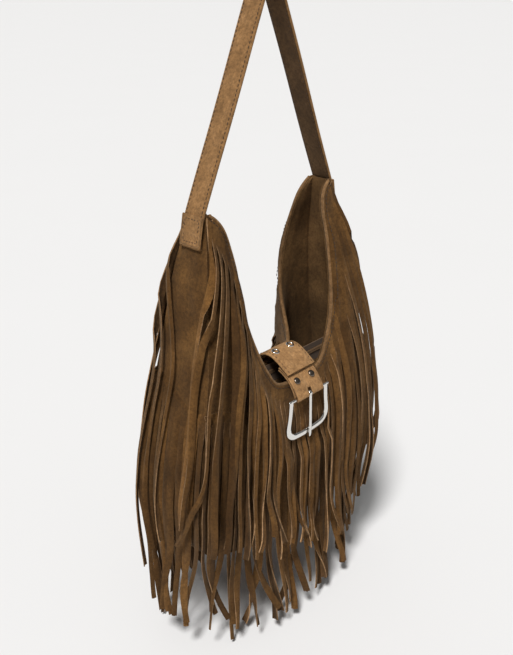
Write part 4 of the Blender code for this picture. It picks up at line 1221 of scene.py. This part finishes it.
for node in ("clasp_front_half", "clasp_tab_half", "zip_stop_left", "zip_stop_right", "zip_slider", "zip_pull", "buckle_frame", "buckle_prong"):
    o = bpy.data.objects[node]
    for s_ in o.material_slots:
        s_.material = DARK_NICKEL if node.startswith(("clasp", "zip_stop")) else NICKEL

# ---------------------------------------------------------------- zip and pocket
ZIP_X0, ZIP_X1, ZIP_Z, POCKET_Y = -46.0, 84.0, 290.0, -21.0


def plane_cloth(name, x0, x1, z0, z1, thick, mat, slot, puff=0.0, cols=46, rows=26, seed=1.0, angle=60):
    outer, inner = [], []
    for j in range(rows + 1):
        for i in range(cols + 1):
            u_, v_ = i / cols, j / rows
            x, z = x0 + (x1 - x0) * u_, z0 + (z1 - z0) * v_
            w = (smooth(u_ * 6) * smooth((1 - u_) * 6) * smooth(v_ * 6) * smooth((1 - v_) * 6))
            dy = puff * w * (0.6 + 0.4 * noise(x / 17, z / 21, seed))
            outer.append((x, POCKET_Y - thick - dy, z))
            inner.append((x, POCKET_Y - dy * 0.4, z))
    return slab(name, outer, inner, grid_faces(rows + 1, cols + 1), [mat], slot, angle=angle)


pocket = plane_cloth("pocket_cloth", ZIP_X0 - 10, ZIP_X1 + 8, 176.0, 276.5, 1.2, LINING_MAT, SLOT_LINING, puff=1.6)
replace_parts(pocket, "inner_pocket")
t1 = plane_cloth("tape_low", ZIP_X0, ZIP_X1, 277.0, 287.3, 0.7, TAPE, SLOT_TAPE, rows=4)
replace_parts(t1, "zip_tape_lower")
t2 = plane_cloth("tape_high", ZIP_X0, ZIP_X1, 292.7, 299.5, 0.7, TAPE, SLOT_TAPE, rows=4)
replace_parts(t2, "zip_tape_upper")
for tag, z0, z1, up in (("lower", 287.7, 290.0, 1), ("upper", 290.0, 292.3, -1)):
    pts, fcs = [], []
    x = ZIP_X0 + 6.6
    k_ = 0
    while x < ZIP_X1 - 6.4:
        xc = x + (0.75 if up < 0 else 0.0)
        # one tooth: a rounded rung that reaches the middle line
        base = len(pts)
        ring8 = 8
        for f, half in ((0.0, 0.42), (0.45, 0.42), (0.8, 0.55), (1.0, 0.3)):
            z = (z0 if up > 0 else z1) + up * f * 2.25
            for q in range(ring8):
                a = 2 * math.pi * q / ring8
                pts.append((xc + half * math.cos(a), POCKET_Y - 0.75 + 0.7 * math.sin(a), z))
        for i in range(3):
            for q in range(ring8):
                l = (q + 1) % ring8
                fcs.append((base + i * ring8 + q, base + i * ring8 + l, base + (i + 1) * ring8 + l, base + (i + 1) * ring8 + q))
        fcs += [tuple(base + q for q in range(ring8)), tuple(base + 3 * ring8 + q for q in reversed(range(ring8)))]
        x += 1.5
    coil = make("zip_teeth_" + tag, pts, fcs, [TEETH], SLOT_DARK, angle=50)
    fix_normals(coil)
    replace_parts(coil, "zip_coil_" + tag)


# ------------------------------------------------- floor, light and the camera
FLOOR_Z = -(CROWN + 1.0) / 1000
size = 60.0
mesh = bpy.data.meshes.new("floor")
mesh.from_pydata([(-size, -size, FLOOR_Z), (size, -size, FLOOR_Z), (size, size, FLOOR_Z), (-size, size, FLOOR_Z)], [], [(0, 1, 2, 3)])
floor = bpy.data.objects.new("floor", mesh)
bpy.context.scene.collection.objects.link(floor)
m, t, s = nodes_for("floor_paper")
co = t.nodes.new("ShaderNodeTexCoord").outputs["Object"]
link(t, mix(t, "MIX", add_noise(t, co, 3.0, 2.0), (0.80, 0.80, 0.80), (0.81, 0.81, 0.81)), s.inputs["Base Color"])
s.inputs["Roughness"].default_value = 0.9
mesh.materials.append(m)

w = bpy.data.worlds.new("studio")
bpy.context.scene.world = w
w.use_nodes = True
wt = w.node_tree
wc = wt.nodes.new("ShaderNodeTexCoord")
sep = wt.nodes.new("ShaderNodeSeparateXYZ")
wt.links.new(wc.outputs["Generated"], sep.inputs["Vector"])
wr = wt.nodes.new("ShaderNodeValToRGB")
wr.color_ramp.elements[0].position, wr.color_ramp.elements[0].color = 0.0, (0.16, 0.16, 0.165, 1)
wr.color_ramp.elements[1].position, wr.color_ramp.elements[1].color = 0.95, (0.75, 0.75, 0.74, 1)
wt.links.new(sep.outputs["Z"], wr.inputs["Fac"])
wt.links.new(wr.outputs["Color"], wt.nodes["Background"].inputs["Color"])
wt.nodes["Background"].inputs["Strength"].default_value = 0.38
pale = wt.nodes.new("ShaderNodeBackground")
pale.inputs["Color"].default_value = (0.84, 0.84, 0.835, 1)
path_node = wt.nodes.new("ShaderNodeLightPath")
either = wt.nodes.new("ShaderNodeMixShader")
wt.links.new(path_node.outputs["Is Camera Ray"], either.inputs["Fac"])
wt.links.new(wt.nodes["Background"].outputs["Background"], either.inputs[1])
wt.links.new(pale.outputs["Background"], either.inputs[2])
wt.links.new(either.outputs["Shader"], wt.nodes["World Output"].inputs["Surface"])


def sun(name, direction, energy, angle, colour=(1, 1, 1)):
    l = bpy.data.lights.new(name, "SUN")
    l.energy, l.angle, l.color = energy, math.radians(angle), colour
    o = bpy.data.objects.new(name, l)
    o.rotation_euler = Vector(direction).to_track_quat("-Z", "Y").to_euler()
    bpy.context.scene.collection.objects.link(o)
    return o


sun("key", (0.47, 0.20, -0.86), 3.32, 12.0, (1.0, 0.99, 0.98))
bpy.context.scene.view_settings.view_transform = "Standard"

yaw, pitch, roll = 0.830236, 0.431603, 0.00573
fw = Vector((math.sin(yaw) * math.cos(pitch), math.cos(yaw) * math.cos(pitch), -math.sin(pitch)))
r = Vector((math.cos(yaw), -math.sin(yaw), 0.0))
u = r.cross(fw)
r2 = r * math.cos(roll) + u * math.sin(roll)
u2 = -r * math.sin(roll) + u * math.cos(roll)
cam = bpy.data.cameras.new("photo_view")
cam.lens, cam.sensor_width, cam.sensor_fit = 44.436, 36.0, "AUTO"
cam.clip_start, cam.clip_end = 0.01, 200.0
cam_o = bpy.data.objects.new("photo_view", cam)
cam_o.matrix_world = Matrix(((r2.x, u2.x, -fw.x, -0.5778), (r2.y, u2.y, -fw.y, -0.5197), (r2.z, u2.z, -fw.z, 0.0250), (0, 0, 0, 1)))
bpy.context.scene.collection.objects.link(cam_o)
bpy.context.scene.camera = cam_o

bpy.context.view_layer.update()
